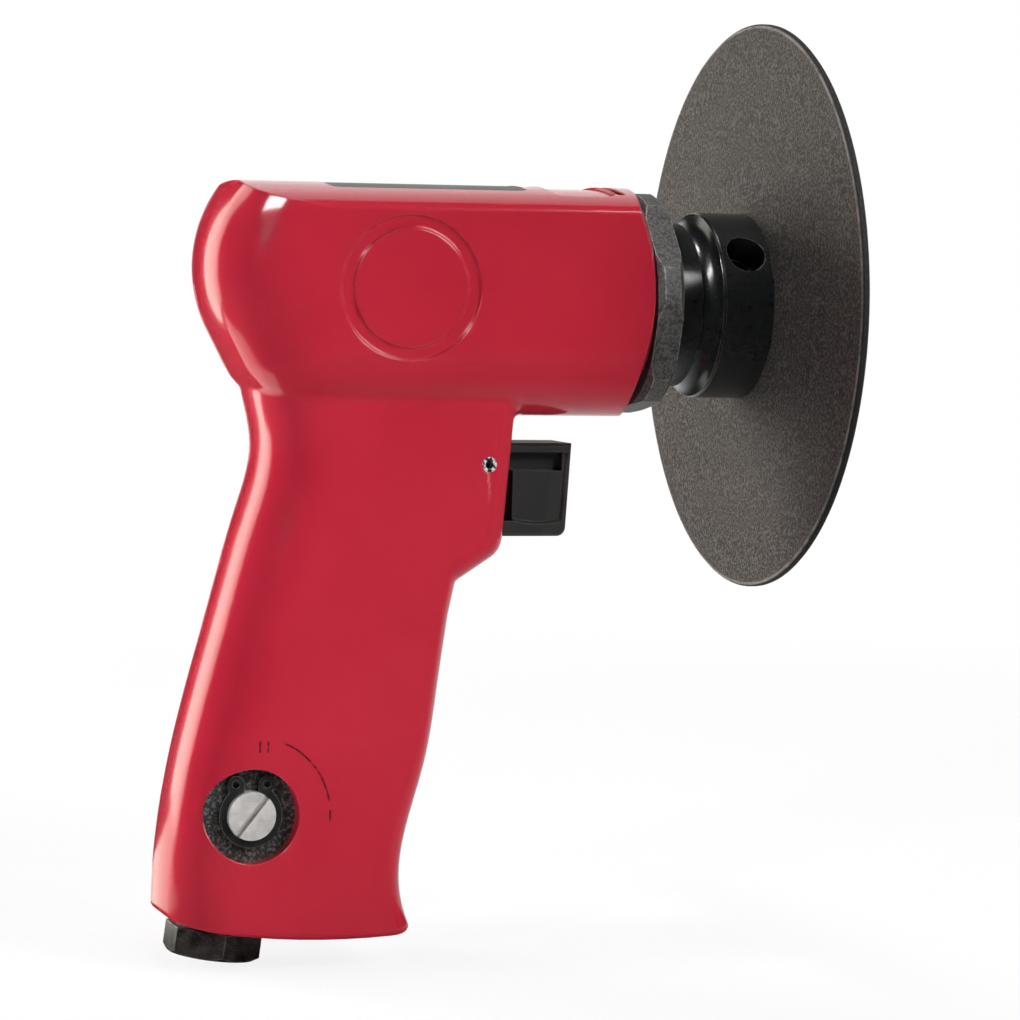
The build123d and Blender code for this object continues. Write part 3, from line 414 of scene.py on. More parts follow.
def scale_marks(recipe, place, sizes):
    """Engraved scale beside the regulator: an arc, two bars at its open end and one at its closed end."""
    x, y, z = recipe.axes(place)
    right = recipe.math("SUBTRACT", x, REGULATOR_X)
    up = recipe.math("SUBTRACT", z, REGULATOR_Z)
    off_arc = recipe.math("SUBTRACT", recipe.distance(right, up), sizes.scale_radius)
    angle = recipe.math("ARCTAN2", up, right)
    swing = span_mask(recipe, angle, SCALE_START, SCALE_END, SCALE_END_BLUR)
    marks = recipe.times(line_mask(recipe, off_arc, sizes.scale_line), swing)
    for bar_right, bar_up in (*OPEN_BARS, (sizes.scale_radius, CLOSED_BAR_UP)):
        line = line_mask(recipe, recipe.math("SUBTRACT", right, bar_right), sizes.scale_line)
        tall = span_mask(recipe, up, bar_up - BAR_HALF_HEIGHT, bar_up + BAR_HALF_HEIGHT, BAR_END_BLUR)
        marks = recipe.math("MAXIMUM", marks, recipe.times(line, tall))
    return recipe.times(marks, near_side(recipe, y))


def pin_scuff(recipe, place):
    """A short rubbed streak in the paint under the trigger pin."""
    x, y, z = recipe.axes(place)
    wander = recipe.times(recipe.math("SUBTRACT", recipe.noise(place, scale=500.0), 0.5), SCUFF_WANDER)
    aside = recipe.math("ADD", recipe.math("SUBTRACT", x, PIN_X), wander)
    streak = line_mask(recipe, aside, SCUFF_WIDTH)
    fading = recipe.between(z, PIN_Z - SCUFF_FADE[0], PIN_Z - SCUFF_FADE[1])
    below = recipe.between(z, PIN_Z - SCUFF_TOP[0], PIN_Z - SCUFF_TOP[1])
    flecks = recipe.between(recipe.noise(place, scale=3200.0, detail=3.0), 0.40, 0.60)
    return recipe.times(streak, fading, below, near_side(recipe, y), flecks)


def back_crown(recipe, place):
    """Height in metres of a slight crown across the casting's back: less y squared over twice its radius."""
    y = recipe.axes(place)[1]
    crown = recipe.times(y, y, -0.5 / BACK_CROWN_RADIUS)
    facing = recipe.axes(recipe.node("NewGeometry").outputs["Normal"])[0]
    return recipe.times(crown, recipe.between(facing, -0.80, -0.985))


def crimson_enamel(colours, sizes):
    """Gloss enamel on a casting: slow tone changes, orange peel, engraved scale, a rubbed streak, and lighter
    worn edges that are partly painted highlight.
    """
    engraved_line_dark = (0.070, 0.007, 0.012, 1)
    scuffed_paint = (0.60, 0.24, 0.24, 1)
    thin_paint_and_highlight = (0.62, 0.13, 0.12, 1)
    material, recipe, surface = new_finish("crimson_enamel")
    place = recipe.place()
    thick = recipe.between(recipe.noise(place, scale=35.0, detail=3.0), 0.35, 0.65)
    colour = recipe.mix(thick, tuple(colours.enamel_deep), tuple(colours.enamel))
    marks = scale_marks(recipe, place, sizes)
    # The engraved scale lines are drawn darker, broken up by noise
    line_break_up = recipe.between(recipe.noise(place, scale=900.0, detail=3.0), 0.36, 0.52)
    colour = recipe.mix(recipe.times(marks, line_break_up), colour, engraved_line_dark)
    colour = recipe.mix(recipe.times(pin_scuff(recipe, place), 0.6), colour, scuffed_paint)
    # Edges worn to thinner, lighter paint; the lightening also serves as a painted highlight along the edges
    worn = recipe.effect(shared("Edge wear"), Width=sizes.wear, Patch=0.006, Amount=0.45)
    colour = recipe.mix(worn, colour, thin_paint_and_highlight)
    fine = recipe.noise(place, scale=1.0 / 0.0003)
    peel = recipe.noise(place, scale=1.0 / sizes.peel, detail=1.5)
    edges = recipe.soft_edge(sizes.paint_edge)
    crowned = recipe.bump(back_crown(recipe, place), distance=1.0, strength=1.0, normal=edges)
    rippled = recipe.bump(peel, distance=0.000016, strength=0.8, normal=crowned)
    engraved = recipe.bump(recipe.math("SUBTRACT", 1.0, marks), SCALE_DEPTH, strength=0.8, normal=rippled)
    roughness = recipe.between(fine, 0.3, 0.7, 0.11, 0.16)
    recipe.lay(surface, Base_Color=colour, Roughness=roughness, Normal=engraved)
    return material


def phosphate_steel(colours, sizes):
    """Phosphated steel: rough dark grey, mottled large and small, rubbed bright along its edges."""
    light_fleck = (0.150, 0.147, 0.138, 1)
    material, recipe, surface = new_finish("phosphate_steel")
    cloud = recipe.noise(recipe.place(), scale=260.0, detail=5.0, roughness=0.65)
    patches = recipe.between(cloud, 0.34, 0.66)
    colour = recipe.mix(patches, toned(colours.phosphate, 0.50), tuple(colours.phosphate))
    grain = recipe.effect(shared("Grain"), Size=0.0007, Contrast=6.0)
    colour = recipe.mix(recipe.times(grain, 0.70), colour, light_fleck)
    worn = recipe.effect(shared("Edge wear"), Width=sizes.wear * 0.7, Patch=0.0022, Start=0.998, Full=0.975)
    colour = recipe.mix(worn, colour, tuple(colours.steel))
    metal = recipe.spread(worn, 0.15, 0.9)
    roughness = recipe.spread(grain, 0.46, 0.66)
    relief = recipe.bump(grain, distance=0.00004, strength=0.5, normal=recipe.soft_edge(sizes.soft_edge))
    recipe.lay(surface, Base_Color=colour, Metallic=metal, Roughness=roughness, Normal=relief)
    return material


def oiled_steel(colours, sizes):
    """Dark oiled steel of the inlet: brown-black patches, fine scratches and rubbed edges."""
    oil_black = (0.010, 0.010, 0.010, 1)
    oil_brown = (0.078, 0.068, 0.060, 1)
    material, recipe, surface = new_finish("oiled_steel")
    cloud = recipe.noise(recipe.place(), scale=330.0, detail=5.0, roughness=0.65)
    colour = recipe.mix(recipe.between(cloud, 0.36, 0.64), oil_black, oil_brown)
    worn = recipe.effect(shared("Edge wear"), Width=sizes.wear, Patch=0.003, Amount=0.8)
    scratched = recipe.effect(shared("Scratches"), Length=0.010, Level=0.70)
    bare = recipe.math("MAXIMUM", worn, recipe.times(scratched, 0.25))
    colour = recipe.mix(bare, colour, tuple(colours.steel))
    metal = recipe.spread(bare, 0.3, 1.0)
    grain = recipe.effect(shared("Grain"), Size=0.0004, Contrast=2.4)
    roughness = recipe.spread(grain, 0.24, 0.40)
    relief = recipe.bump(grain, distance=0.00003, strength=0.4, normal=recipe.soft_edge(sizes.soft_edge))
    recipe.lay(surface, Base_Color=colour, Metallic=metal, Roughness=roughness, Normal=relief)
    return material


def black_oxide(colours, sizes):
    """Oiled black oxide on turned steel: faint lathe marks that draw out the gloss, and rubbed edges."""
    light_oxide = (0.018, 0.020, 0.020, 1)
    material, recipe, surface = new_finish("black_oxide")
    lines = recipe.effect(shared("Turning marks"), Pitch=0.00030)
    grain = recipe.effect(shared("Grain"), Size=0.0015, Contrast=1.6)
    colour = recipe.mix(grain, tuple(colours.black_oxide), light_oxide)
    worn = recipe.effect(shared("Edge wear"), Width=sizes.wear * 0.5, Patch=0.006, Amount=0.8)
    colour = recipe.mix(worn, colour, tuple(colours.steel))
    roughness = recipe.between(lines, 0.25, 0.75, 0.15, 0.25)
    edges = recipe.soft_edge(sizes.soft_edge * 0.7)
    relief = recipe.bump(lines, distance=0.000006, strength=0.5, normal=edges)
    around = recipe.node("Tangent", direction_type="RADIAL", axis="X").outputs[0]
    recipe.lay(surface, Base_Color=colour, Metallic=worn, Roughness=roughness, Normal=relief)
    recipe.lay(surface, Anisotropic=0.35, Tangent=around)
    return material


def pad_fibre(colours, sizes):
    """Fibre-filled rubber: coarse and fine speckle, a thin painted highlight round the face and a black rim.
    """
    painted_edge_highlight = (0.24, 0.21, 0.19, 1)
    rim_rubber = (0.012, 0.012, 0.012, 1)
    material, recipe, surface = new_finish("pad_fibre")
    place = recipe.place()
    coarse = recipe.effect(shared("Grain"), Size=0.0012, Contrast=3.5)
    fine = recipe.effect(shared("Grain"), Size=0.0006, Contrast=6.0)
    colour = recipe.mix(coarse, toned(colours.pad, 0.8), tuple(colours.pad))
    colour = recipe.mix(recipe.between(fine, 0.0, 0.45, 0.8, 0.0), colour, toned(colours.pad, 0.30))
    colour = recipe.mix(recipe.between(fine, 0.55, 1.0, 0.0, 0.8), colour, toned(colours.pad, 2.6))
    low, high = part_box("backing_pad")
    edge = (high.z - low.z) / 2
    y, z = recipe.axes(place)[1:]
    radius = recipe.distance(y, z)
    # Painted highlight: a thin light line just inside the face's edge, broken up by noise
    line = line_mask(recipe, recipe.math("SUBTRACT", radius, edge - sizes.wear), sizes.wear)
    broken = recipe.between(recipe.noise(place, scale=300.0, detail=3.0), 0.35, 0.60, 0.25, 0.75)
    colour = recipe.mix(recipe.times(line, broken), colour, painted_edge_highlight)
    colour = recipe.mix(recipe.between(radius, edge - RIM_START, edge - RIM_FULL), colour, rim_rubber)
    roughness = recipe.spread(fine, 0.62, 0.82)
    speckled = recipe.bump(fine, distance=0.00006, strength=0.5)
    relief = recipe.bump(coarse, distance=0.00005, strength=0.4, normal=speckled)
    recipe.lay(surface, Base_Color=colour, Roughness=roughness, Normal=relief, Specular_IOR_Level=0.3)
    return material


def trigger_plastic(colours, sizes):
    """Spark-textured moulding, a little polished along its edges."""
    polished_plastic = (0.085, 0.083, 0.080, 1)
    material, recipe, surface = new_finish("trigger_plastic")
    grain = recipe.effect(shared("Grain"), Size=0.00028, Contrast=1.8)
    colour = recipe.mix(grain, toned(colours.plastic, 0.7), tuple(colours.plastic))
    worn = recipe.effect(shared("Edge wear"), Width=sizes.wear, Patch=0.005, Amount=0.5)
    colour = recipe.mix(worn, colour, polished_plastic)
    roughness = recipe.spread(grain, 0.42, 0.56)
    relief = recipe.bump(grain, distance=0.00003, strength=0.4, normal=recipe.soft_edge(sizes.soft_edge))
    recipe.lay(surface, Base_Color=colour, Roughness=roughness, Normal=relief)
    return material


def ground_steel(colours, sizes):
    """Ground bare steel: fine lines and faint stains."""
    bright_line = (0.85, 0.84, 0.81, 1)
    material, recipe, surface = new_finish("ground_steel")
    lines = recipe.noise(recipe.stretched((60.0, 60.0, 2500.0), (0.0, 0.9, 0.0)), scale=1.0, detail=3.0)
    stain = recipe.between(recipe.noise(recipe.place(), scale=420.0, detail=4.0), 0.35, 0.65)
    colour = recipe.mix(stain, toned(colours.steel, 0.62), tuple(colours.steel))
    colour = recipe.mix(recipe.times(lines, 0.5), colour, bright_line)
    roughness = recipe.between(lines, 0.2, 0.8, 0.34, 0.52)
    relief = recipe.bump(lines, distance=0.00001, strength=0.4, normal=recipe.soft_edge(sizes.soft_edge))
    recipe.lay(surface, Base_Color=colour, Metallic=0.20, Roughness=roughness, Normal=relief)
    return material


def spring_steel(colours, sizes):
    """Blued spring steel of the pin: near black, with bright patches painted in as glints."""
    blued_fleck = (0.050, 0.052, 0.055, 1)
    glint_steel = (0.72, 0.72, 0.71, 1)
    material, recipe, surface = new_finish("spring_steel")
    grain = recipe.effect(shared("Grain"), Size=0.0006, Contrast=3.0)
    colour = recipe.mix(grain, tuple(colours.black_oxide), blued_fleck)
    # Painted glints: noise patches lightened to bright steel and made less metallic, so they stay bright
    # under any light
    worn = recipe.between(recipe.noise(recipe.place(), scale=1100.0), 0.46, 0.58)
    colour = recipe.mix(worn, colour, glint_steel)
    metal = recipe.spread(worn, 0.5, 0.2)
    roughness = recipe.spread(grain, 0.24, 0.38)
    relief = recipe.bump(grain, distance=0.00002, strength=0.4, normal=recipe.soft_edge(sizes.soft_edge))
    recipe.lay(surface, Base_Color=colour, Metallic=metal, Roughness=roughness, Normal=relief)
    return material


def pitted_black():
    """Black-coated sintered steel: pits and grey flecks."""
    black_coat = (0.018, 0.018, 0.018, 1)
    grey_fleck = (0.24, 0.235, 0.22, 1)
    material, recipe, surface = new_finish("pitted_black")
    pits = recipe.noise(recipe.place(), scale=1500.0, detail=4.0, roughness=0.7)
    flecks = recipe.between(pits, 0.50, 0.64)
    colour = recipe.mix(flecks, black_coat, grey_fleck)
    metal = recipe.spread(flecks, 0.2, 0.7)
    roughness = recipe.between(pits, 0.3, 0.7, 0.6, 0.36)
    relief = recipe.bump(pits, distance=0.0002, strength=0.6)
    recipe.lay(surface, Base_Color=colour, Metallic=metal, Roughness=roughness, Normal=relief)
    return material


def satin_plate(sizes):
    """Bare anodised plate with a fine lengthwise brushing."""
    dark_line = (0.012, 0.012, 0.013, 1)
    light_line = (0.030, 0.030, 0.031, 1)
    material, recipe, surface = new_finish("satin_plate")
    lines = recipe.noise(recipe.stretched((70.0, 3500.0, 3500.0)), scale=1.0, detail=3.0)
    colour = recipe.mix(lines, dark_line, light_line)
    roughness = recipe.between(lines, 0.2, 0.8, 0.32, 0.48)
    relief = recipe.bump(lines, distance=0.00001, strength=0.4, normal=recipe.soft_edge(sizes.soft_edge))
    recipe.lay(surface, Base_Color=colour, Roughness=roughness, Normal=relief)
    return material


def turned_metal(name, base, metallic, roughness, sizes):
    """Turned metal that is out of sight: lathe marks, grain and softened edges."""
    material, recipe, surface = new_finish(name)
    lines = recipe.effect(shared("Turning marks"), Pitch=0.0003)
    grain = recipe.effect(shared("Grain"), Size=0.0008, Contrast=1.5)
    colour = recipe.mix(grain, toned(base, 0.75), tuple(base))
    varied = recipe.between(lines, 0.2, 0.8, roughness - 0.08, roughness + 0.08)
    relief = recipe.bump(lines, distance=0.00002, strength=0.3, normal=recipe.soft_edge(sizes.soft_edge))
    recipe.lay(surface, Base_Color=colour, Metallic=metallic, Roughness=varied, Normal=relief)
    return material


def soft_ring(name, base, grain_size):
    """Rubber, felt or laminate: grain in colour, roughness and relief."""
    material, recipe, surface = new_finish(name)
    grain = recipe.effect(shared("Grain"), Size=grain_size, Contrast=2.0)
    colour = recipe.mix(grain, toned(base, 0.6), tuple(base))
    roughness = recipe.spread(grain, 0.62, 0.85)
    relief = recipe.bump(grain, distance=0.00008, strength=0.5)
    recipe.lay(surface, Base_Color=colour, Roughness=roughness, Normal=relief)
    return material


def dress(material, *names):
    """Gives solids their finish."""
    for name in names:
        solids[name].data.materials.clear()
        solids[name].data.materials.append(material)


def band_faces(rows, sides, closed=False):
    """Four-sided faces of a grid of points. Point s of row r is number r * sides + s, each row closes on
    itself, and in a closed grid the last row joins the first."""
    row = np.arange(rows if closed else rows - 1)[:, None]
    side = np.arange(sides)[None, :]
    here = row * sides
    ahead = (row + 1) % rows * sides
    following = (side + 1) % sides
    quads = np.stack([here + side, here + following, ahead + following, ahead + side], axis=-1)
    return quads.reshape(-1, 4).tolist()


def new_piece(name, points, faces, smooth=False):
    """An object with that mesh. A smooth one keeps its edges sharp where they turn by more than an angle."""
    mesh = bpy.data.meshes.new(name)
    mesh.from_pydata(points.reshape(-1, 3).tolist(), [], faces, shade_flat=not smooth)
    if smooth:
        mesh.set_sharp_from_angle(angle=SHARP_ANGLE)
    mesh.update()
    piece = bpy.data.objects.new(name, mesh)
    bpy.context.scene.collection.objects.link(piece)
    return piece


def swept_ridge(name, centres, out, along, half_width, height):
    """A closed ridge carried along a path. At each point of the path its section is a three-sided peak:
    foot - along * half_width, foot + out * height, foot + along * half_width. Height and width shrink to
    nothing at both ends, so the ridge closes by itself."""
    count = len(centres)
    from_end = np.minimum(np.arange(count), np.arange(count)[::-1])
    swell = np.clip(from_end / (THREAD_RUN_OUT * count), 0.001, 1.0)[:, None]
    left = centres - along * half_width * swell
    peak = centres + out * height * swell
    right = centres + along * half_width * swell
    last = 3 * (count - 1)
    caps = [[2, 1, 0], [last, last + 1, last + 2]]
    return new_piece(name, np.stack([left, peak, right], axis=1), band_faces(count, 3) + caps)


def wound_wire(name, start, rise, turns, radius, wire):
    """A round wire wound along +X. The middle of the wire is start + (rise * t, radius * cos a,
    radius * sin a) with a = 2 pi * turns * t, and round it runs a circle of the wire's radius, at right
    angles to the path."""
    share = np.linspace(0.0, 1.0, int(turns * STEPS_PER_TURN) + 1)
    turn = 2 * np.pi * turns * share
    outward = np.stack([np.zeros_like(turn), np.cos(turn), np.sin(turn)], axis=1)
    onward = np.stack([np.zeros_like(turn), -np.sin(turn), np.cos(turn)], axis=1)
    centres = np.array(start) + np.outer(rise * share, (1.0, 0.0, 0.0)) + outward * radius
    path = onward * (2 * np.pi * turns * radius) + np.array([rise, 0.0, 0.0])
    path /= np.linalg.norm(path, axis=1)[:, None]
    aside = np.cross(path, outward)
    angle = np.linspace(0.0, 2 * np.pi, WIRE_SIDES, endpoint=False)[None, :, None]
    ring = np.cos(angle) * outward[:, None, :] + np.sin(angle) * aside[:, None, :]
    points = centres[:, None, :] + ring * wire / 2
    first_cap = np.arange(WIRE_SIDES)[::-1]
    last_cap = np.arange(WIRE_SIDES) + WIRE_SIDES * (len(share) - 1)
    faces = band_faces(len(share), WIRE_SIDES) + [first_cap.tolist(), last_cap.tolist()]
    return new_piece(name, points, faces, smooth=True)


def turned_ring(name, profile):
    """A ring turned about the X axis. The profile is a closed line of corners (x, r), listed clockwise with
    x to the right and r upwards, and the surface is (x, r * cos a, r * sin a) with a once round."""
    along, radius = np.array(profile).T[:, :, None]
    angle = np.linspace(0.0, 2 * np.pi, RING_SIDES, endpoint=False)[None, :]
    rows = np.broadcast_arrays(along, radius * np.cos(angle), radius * np.sin(angle))
    faces = band_faces(len(profile), RING_SIDES, closed=True)
    return new_piece(name, np.stack(rows, axis=-1), faces, smooth=True)


class SANDER_OT_housing(bpy.types.Operator):
    """Paint the housing and finish the plate let into its deck."""

    bl_idname = "sander.housing"
    bl_label = "Housing"

    def execute(self, context):
        colours, sizes = context.scene.sander_colours, context.scene.sander_sizes
        dress(crimson_enamel(colours, sizes), "housing")
        dress(satin_plate(sizes), "nameplate")
        return {"FINISHED"}


class SANDER_OT_drive(bpy.types.Operator):
    """Finish the clamp nut, the inlet, the collar and the pad."""

    bl_idname = "sander.drive"
    bl_label = "Nut, inlet, collar and pad"

    def execute(self, context):
        colours, sizes = context.scene.sander_colours, context.scene.sander_sizes
        dress(phosphate_steel(colours, sizes), "clamp_nut")
        dress(oiled_steel(colours, sizes), "inlet_bushing")
        dress(black_oxide(colours, sizes), "drive_collar", "regulator_snap_ring")
        dress(pad_fibre(colours, sizes), "backing_pad")
        return {"FINISHED"}


class SANDER_OT_collar_lip(bpy.types.Operator):
    """Turn the lip round the collar's neck, which drops to the hollow taper."""

    bl_idname = "sander.collar_lip"
    bl_label = "Collar lip"

    def execute(self, context):
        sizes = context.scene.sander_sizes
        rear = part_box("drive_collar")[0].x
        front = rear + sizes.lip_length
        edge = sizes.soft_edge
        bore = sizes.lip_radius * LIP_BORE_SHARE
        lip = turned_ring("collar_lip", (
            (rear, bore),
            (rear, sizes.lip_radius - edge),
            (rear + edge, sizes.lip_radius),
            (front - edge, sizes.lip_radius),
            (front, sizes.lip_radius - edge),
            (front, bore),
        ))
        lip.data.materials.append(bpy.data.materials["black_oxide"])
        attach(lip, "spindle")
        return {"FINISHED"}


class SANDER_OT_controls(bpy.types.Operator):
    """Finish the trigger, its pin, the regulator, the exhaust plug and the disc nut."""

    bl_idname = "sander.controls"
    bl_label = "Trigger and regulator"

    def execute(self, context):
        colours, sizes = context.scene.sander_colours, context.scene.sander_sizes
        dress(trigger_plastic(colours, sizes), "trigger")
        dress(pitted_black(), "regulator_bush", "exhaust_deflector")
        dress(ground_steel(colours, sizes), "regulator_stem", "disc_nut")
        dress(spring_steel(colours, sizes), "trigger_pin")
        return {"FINISHED"}


class SANDER_OT_motor(bpy.types.Operator):
    """Finish the pieces inside the housing."""

    bl_idname = "sander.motor"
    bl_label = "Motor and valve"

    def execute(self, context):
        colours, sizes = context.scene.sander_colours, context.scene.sander_sizes
        steel = turned_metal("bearing_steel", colours.steel, 1.0, 0.28, sizes)
        dress(steel, "rotor", "spindle_spacer", "cylinder_dowel", "valve_stem", "valve_spring",
              "front_bearing_outer", "front_bearing_inner", "rear_bearing_outer", "rear_bearing_inner")
        iron = turned_metal("machined_iron", colours.iron, 0.9, 0.45, sizes)
        dress(iron, "motor_cylinder", "front_end_plate", "rear_end_plate")
        brass = turned_metal("turned_brass", colours.brass, 1.0, 0.32, sizes)
        dress(brass, "valve_bushing", "valve_head", "inlet_screen")
        dress(soft_ring("felt", colours.felt, 0.0004), "front_seal", "exhaust_muffler")
        dress(soft_ring("seal_rubber", colours.rubber, 0.0006), "stem_seal", "regulator_seal")
        laminate = soft_ring("vane_laminate", colours.laminate, 0.0007)
        dress(laminate, *sorted(name for name in solids if name.startswith("rotor_vane")))
        return {"FINISHED"}


class SANDER_OT_valve_spring(bpy.types.Operator):
    """Wind the valve spring in place of its solid, which it hides."""

    bl_idname = "sander.valve_spring"
    bl_label = "Valve spring"

    def execute(self, context):
        colours, sizes = context.scene.sander_colours, context.scene.sander_sizes
        low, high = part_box("valve_spring")
        middle = (low + high) / 2
        length = high.x - low.x
        radius = (high.z - low.z - sizes.spring_wire) / 2
        start = (low.x + sizes.spring_wire / 2, middle.y, middle.z)
        rise = length - sizes.spring_wire
        coil = wound_wire("valve_spring_coil", start, rise, SPRING_TURNS, radius, sizes.spring_wire)
        coil.data.materials.append(turned_metal("spring_wire", colours.steel, 1.0, 0.30, sizes))
        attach(coil, "body")
        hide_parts("valve_spring")
        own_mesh(coil)
        return {"FINISHED"}


class SANDER_OT_inlet_thread(bpy.types.Operator):
    """Cut the pipe thread into the inlet bushing."""

    bl_idname = "sander.inlet_thread"
    bl_label = "Inlet thread"

    def execute(self, context):
        colours, sizes = context.scene.sander_colours, context.scene.sander_sizes
        down = np.array([-math.sin(GRIP_TILT), 0.0, -math.cos(GRIP_TILT)])
        across = np.array([math.cos(GRIP_TILT), 0.0, -math.sin(GRIP_TILT)])
        side = np.array([0.0, 1.0, 0.0])
        mouth = np.array([REGULATOR_X, 0.0, REGULATOR_Z]) + down * INLET_MOUTH
        margin = THREAD_MARGIN * sizes.thread_pitch
        depth = np.linspace(margin, INLET_TAP_LENGTH - margin, THREAD_STEPS)
        turn = 2 * np.pi * depth / sizes.thread_pitch
        radial = np.cos(turn)[:, None] * across + np.sin(turn)[:, None] * side
        centres = mouth - depth[:, None] * down + radial * INLET_TAP_RADIUS
        half_width = THREAD_HALF_WIDTH * sizes.thread_pitch
        ridge = swept_ridge("inlet_thread", centres, -radial, down, half_width, sizes.thread_height)
        ridge.data.materials.append(ground_steel(colours, sizes))
        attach(ridge, "body")
        return {"FINISHED"}


def area_light(name, place, aim, size, watts, spread=180.0, matt=True, gloss=True, tint=WHITE):
    """A soft light of that width and height that faces a point, fanned out by an angle in degrees. It can be
    left out of the matt light or out of the gloss, and tinted."""
    lamp = bpy.data.lights.new(name, "AREA")
    lamp.shape = "RECTANGLE"
    lamp.size, lamp.size_y = size
    lamp.energy = watts
    lamp.color = tint
    lamp.spread = math.radians(spread)
    holder = bpy.data.objects.new(name, lamp)
    holder.location = place
    holder.rotation_euler = (Vector(aim) - Vector(place)).to_track_quat("-Z", "Y").to_euler()
    holder.visible_diffuse = matt
    holder.visible_glossy = gloss
    bpy.context.scene.collection.objects.link(holder)


def lamps():
    """The lights: two cards and a strip that only the gloss shows, two lamps that only the matt light shows,
    and two that both show."""
    middle = (-0.085, 0.0, -0.035)
    above_dome = (-0.128, 0.0, 0.175)
    above_card = (-0.2264, 0.1433, 0.860)
    barrel_side = (-0.118, -0.021, 0.020)
    grip_side = (-0.125, 0.0, -0.050)
    area_light("back_panel", (-0.415, 0.410, 0.175), above_dome, (0.36, 0.64), 1.85, matt=False,
               tint=WARM_WHITE)
    area_light("foot_card", (-0.245, 0.173, -0.1392), above_card, (0.15, 0.30), 0.20, matt=False,
               tint=WARM_WHITE)
    area_light("back_lamp", (-0.855, 0.77, 0.12), middle, (0.50, 0.50), 22.0, gloss=False)
    area_light("spot_strip", (-0.816, -0.491, 0.727), barrel_side, (0.50, 0.18), 9.0, matt=False)
    area_light("left_snoot", (-0.883, -0.682, 0.362), grip_side, (0.06, 0.16), 0.046, gloss=False,
               spread=14.0)
    area_light("top_lamp", (-0.10, -0.02, 0.90), middle, (0.16, 0.16), 4.4)
    area_light("front_key", (0.75, -0.93, 0.72), middle, (0.60, 0.60), 17.2)


def photo_camera():
    """Camera at the photograph's place, turned by its yaw, pitch and roll."""
    level = math.cos(CAMERA_PITCH)
    forward = Vector((-math.sin(CAMERA_YAW) * level, math.cos(CAMERA_YAW) * level, -math.sin(CAMERA_PITCH)))
    right = Vector((math.cos(CAMERA_YAW), math.sin(CAMERA_YAW), 0.0))
    up = right.cross(forward)
    tilted_right = math.cos(CAMERA_ROLL) * right + math.sin(CAMERA_ROLL) * up
    tilted_up = -math.sin(CAMERA_ROLL) * right + math.cos(CAMERA_ROLL) * up
    lens = bpy.data.cameras.new("photo_camera")
    lens.sensor_width = SENSOR_MILLIMETRES
    lens.sensor_fit = "HORIZONTAL"
    lens.lens = SENSOR_MILLIMETRES * FOCAL_PIXELS / PICTURE_WIDTH
    lens.clip_start = 0.01
    camera = bpy.data.objects.new("photo_camera", lens)
    turned = Matrix((tilted_right, tilted_up, -forward)).transposed().to_4x4()
    camera.matrix_world = Matrix.Translation(CAMERA_PLACE) @ turned
    bpy.context.scene.collection.objects.link(camera)
    bpy.context.scene.camera = camera


def seen_rays(recipe, paper):
    """One for rays that show the background: straight to the camera, or off metal and glass onto paper."""
    path = recipe.node("LightPath")
    mirrored = recipe.math("MAXIMUM", path.outputs["Is Glossy Ray"], path.outputs["Is Transmission Ray"])
    return recipe.math("MAXIMUM", path.outputs["Is Camera Ray"], recipe.times(mirrored, paper))


def studio_world():
    """Room: white to the camera, and to the object white behind it on its right and dark elsewhere."""
    world = bpy.data.worlds.new("studio")
    recipe = empty_recipe(world)
    x, y = recipe.axes(recipe.node("TexCoord").outputs["Generated"])[:2]
    room = recipe.times(recipe.between(y, 0.62, 0.85), recipe.between(x, 0.00, 0.20))
    direct = recipe.node("LightPath").outputs["Is Camera Ray"]
    glow = recipe.node("Background")
    glow.inputs["Color"].default_value = WHITE + (1.0,)
    recipe.feed(glow.inputs["Strength"], recipe.math("MAXIMUM", room, direct))
    recipe.feed(recipe.node("OutputWorld").inputs["Surface"], glow.outputs[0])
    bpy.context.scene.world = world


def floor_white():
    """Pale paper that shows as the white background and keeps a soft shadow near the sander. In the gloss it
    is white under and behind the barrel's front, and dark to the left."""
    pale = (0.80, 0.80, 0.80, 1)
    dark = (0.03, 0.03, 0.03, 1)
    material = bpy.data.materials.new("floor_white")
    recipe = empty_recipe(material)
    x, y = recipe.axes(recipe.place())[:2]
    paper = recipe.times(recipe.between(y, -0.12, 0.07), recipe.between(x, -0.09, -0.02))
    shadowless = recipe.between(recipe.distance(x, y), 0.25, 0.70, 0.86, 1.0)
    matt = recipe.node("BsdfDiffuse")
    mirrored = recipe.node("LightPath").outputs["Is Glossy Ray"]
    recipe.feed(matt.inputs["Color"], recipe.mix(mirrored, pale, dark))
    both = recipe.node("MixShader")
    recipe.feed(both.inputs[0], recipe.times(seen_rays(recipe, paper), shadowless))
    recipe.feed(both.inputs[1], matt.outputs[0])
    recipe.feed(both.inputs[2], recipe.node("Emission").outputs[0])
    recipe.feed(recipe.node("OutputMaterial").inputs["Surface"], both.outputs[0])
    return material


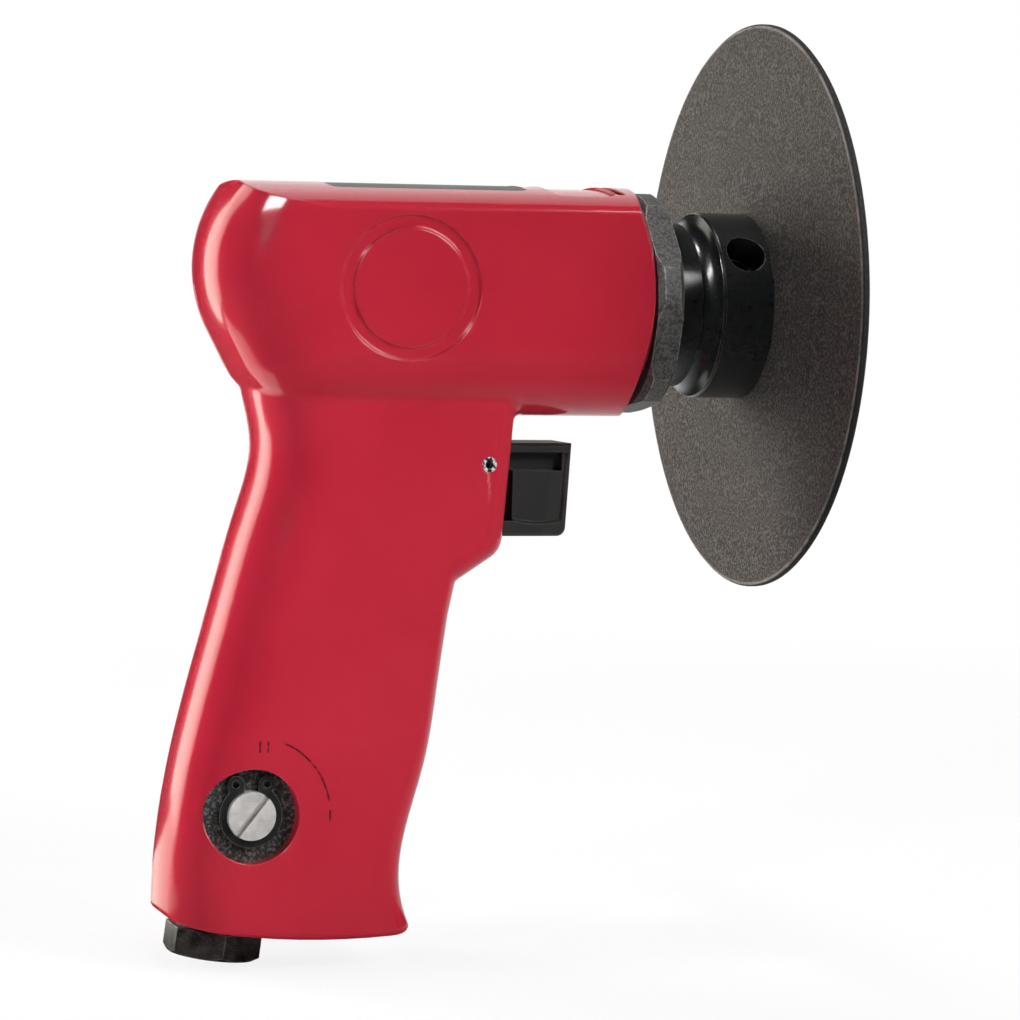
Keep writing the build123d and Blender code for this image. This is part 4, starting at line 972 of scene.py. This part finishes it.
def pale_floor():
    """Level square of floor just under the sander: (x, y) from (-1, -1) to (1, 1), times its reach."""
    level = solid_box[0].z - FLOOR_GAP
    corners = np.array([(-1, -1, 0), (1, -1, 0), (1, 1, 0), (-1, 1, 0)]) * FLOOR_REACH + (0.0, 0.0, level)
    floor = new_piece("floor", corners, [(0, 1, 2, 3)])
    floor.data.materials.append(floor_white())


class SANDER_OT_stage(bpy.types.Operator):
    """Set up the floor, the room, the lights and the camera."""

    bl_idname = "sander.stage"
    bl_label = "Studio"

    def execute(self, context):
        pale_floor()
        studio_world()
        lamps()
        photo_camera()
        context.scene.view_settings.view_transform = "Standard"
        return {"FINISHED"}


class SANDER_PT_panel(bpy.types.Panel):
    """Lists the steps, the colours and the sizes."""

    bl_idname = "SANDER_PT_panel"
    bl_label = "Air sander"
    bl_space_type = "VIEW_3D"
    bl_region_type = "UI"
    bl_category = "Sander"

    def draw(self, context):
        for step in STEPS:
            self.layout.operator(step.bl_idname)
        for group in (context.scene.sander_colours, context.scene.sander_sizes):
            for name in group.bl_rna.properties.keys():
                if name not in ("rna_type", "name"):
                    self.layout.prop(group, name)


STEPS = (
    SANDER_OT_housing,
    SANDER_OT_drive,
    SANDER_OT_collar_lip,
    SANDER_OT_controls,
    SANDER_OT_motor,
    SANDER_OT_valve_spring,
    SANDER_OT_inlet_thread,
    SANDER_OT_stage,
)
CLASSES = (SanderColours, SanderSizes, *STEPS, SANDER_PT_panel)


def register():
    """Adds the classes and the scene's settings."""
    for item in CLASSES:
        bpy.utils.register_class(item)
    bpy.types.Scene.sander_colours = PointerProperty(type=SanderColours)
    bpy.types.Scene.sander_sizes = PointerProperty(type=SanderSizes)


def unregister():
    """Takes the classes and settings out again."""
    del bpy.types.Scene.sander_sizes
    del bpy.types.Scene.sander_colours
    for item in reversed(CLASSES):
        bpy.utils.unregister_class(item)


def main():
    """Runs every step in order."""
    register()
    bpy.ops.sander.housing()
    bpy.ops.sander.drive()
    bpy.ops.sander.collar_lip()
    bpy.ops.sander.controls()
    bpy.ops.sander.motor()
    bpy.ops.sander.valve_spring()
    bpy.ops.sander.inlet_thread()
    bpy.ops.sander.stage()


if __name__ == "__main__":
    main()
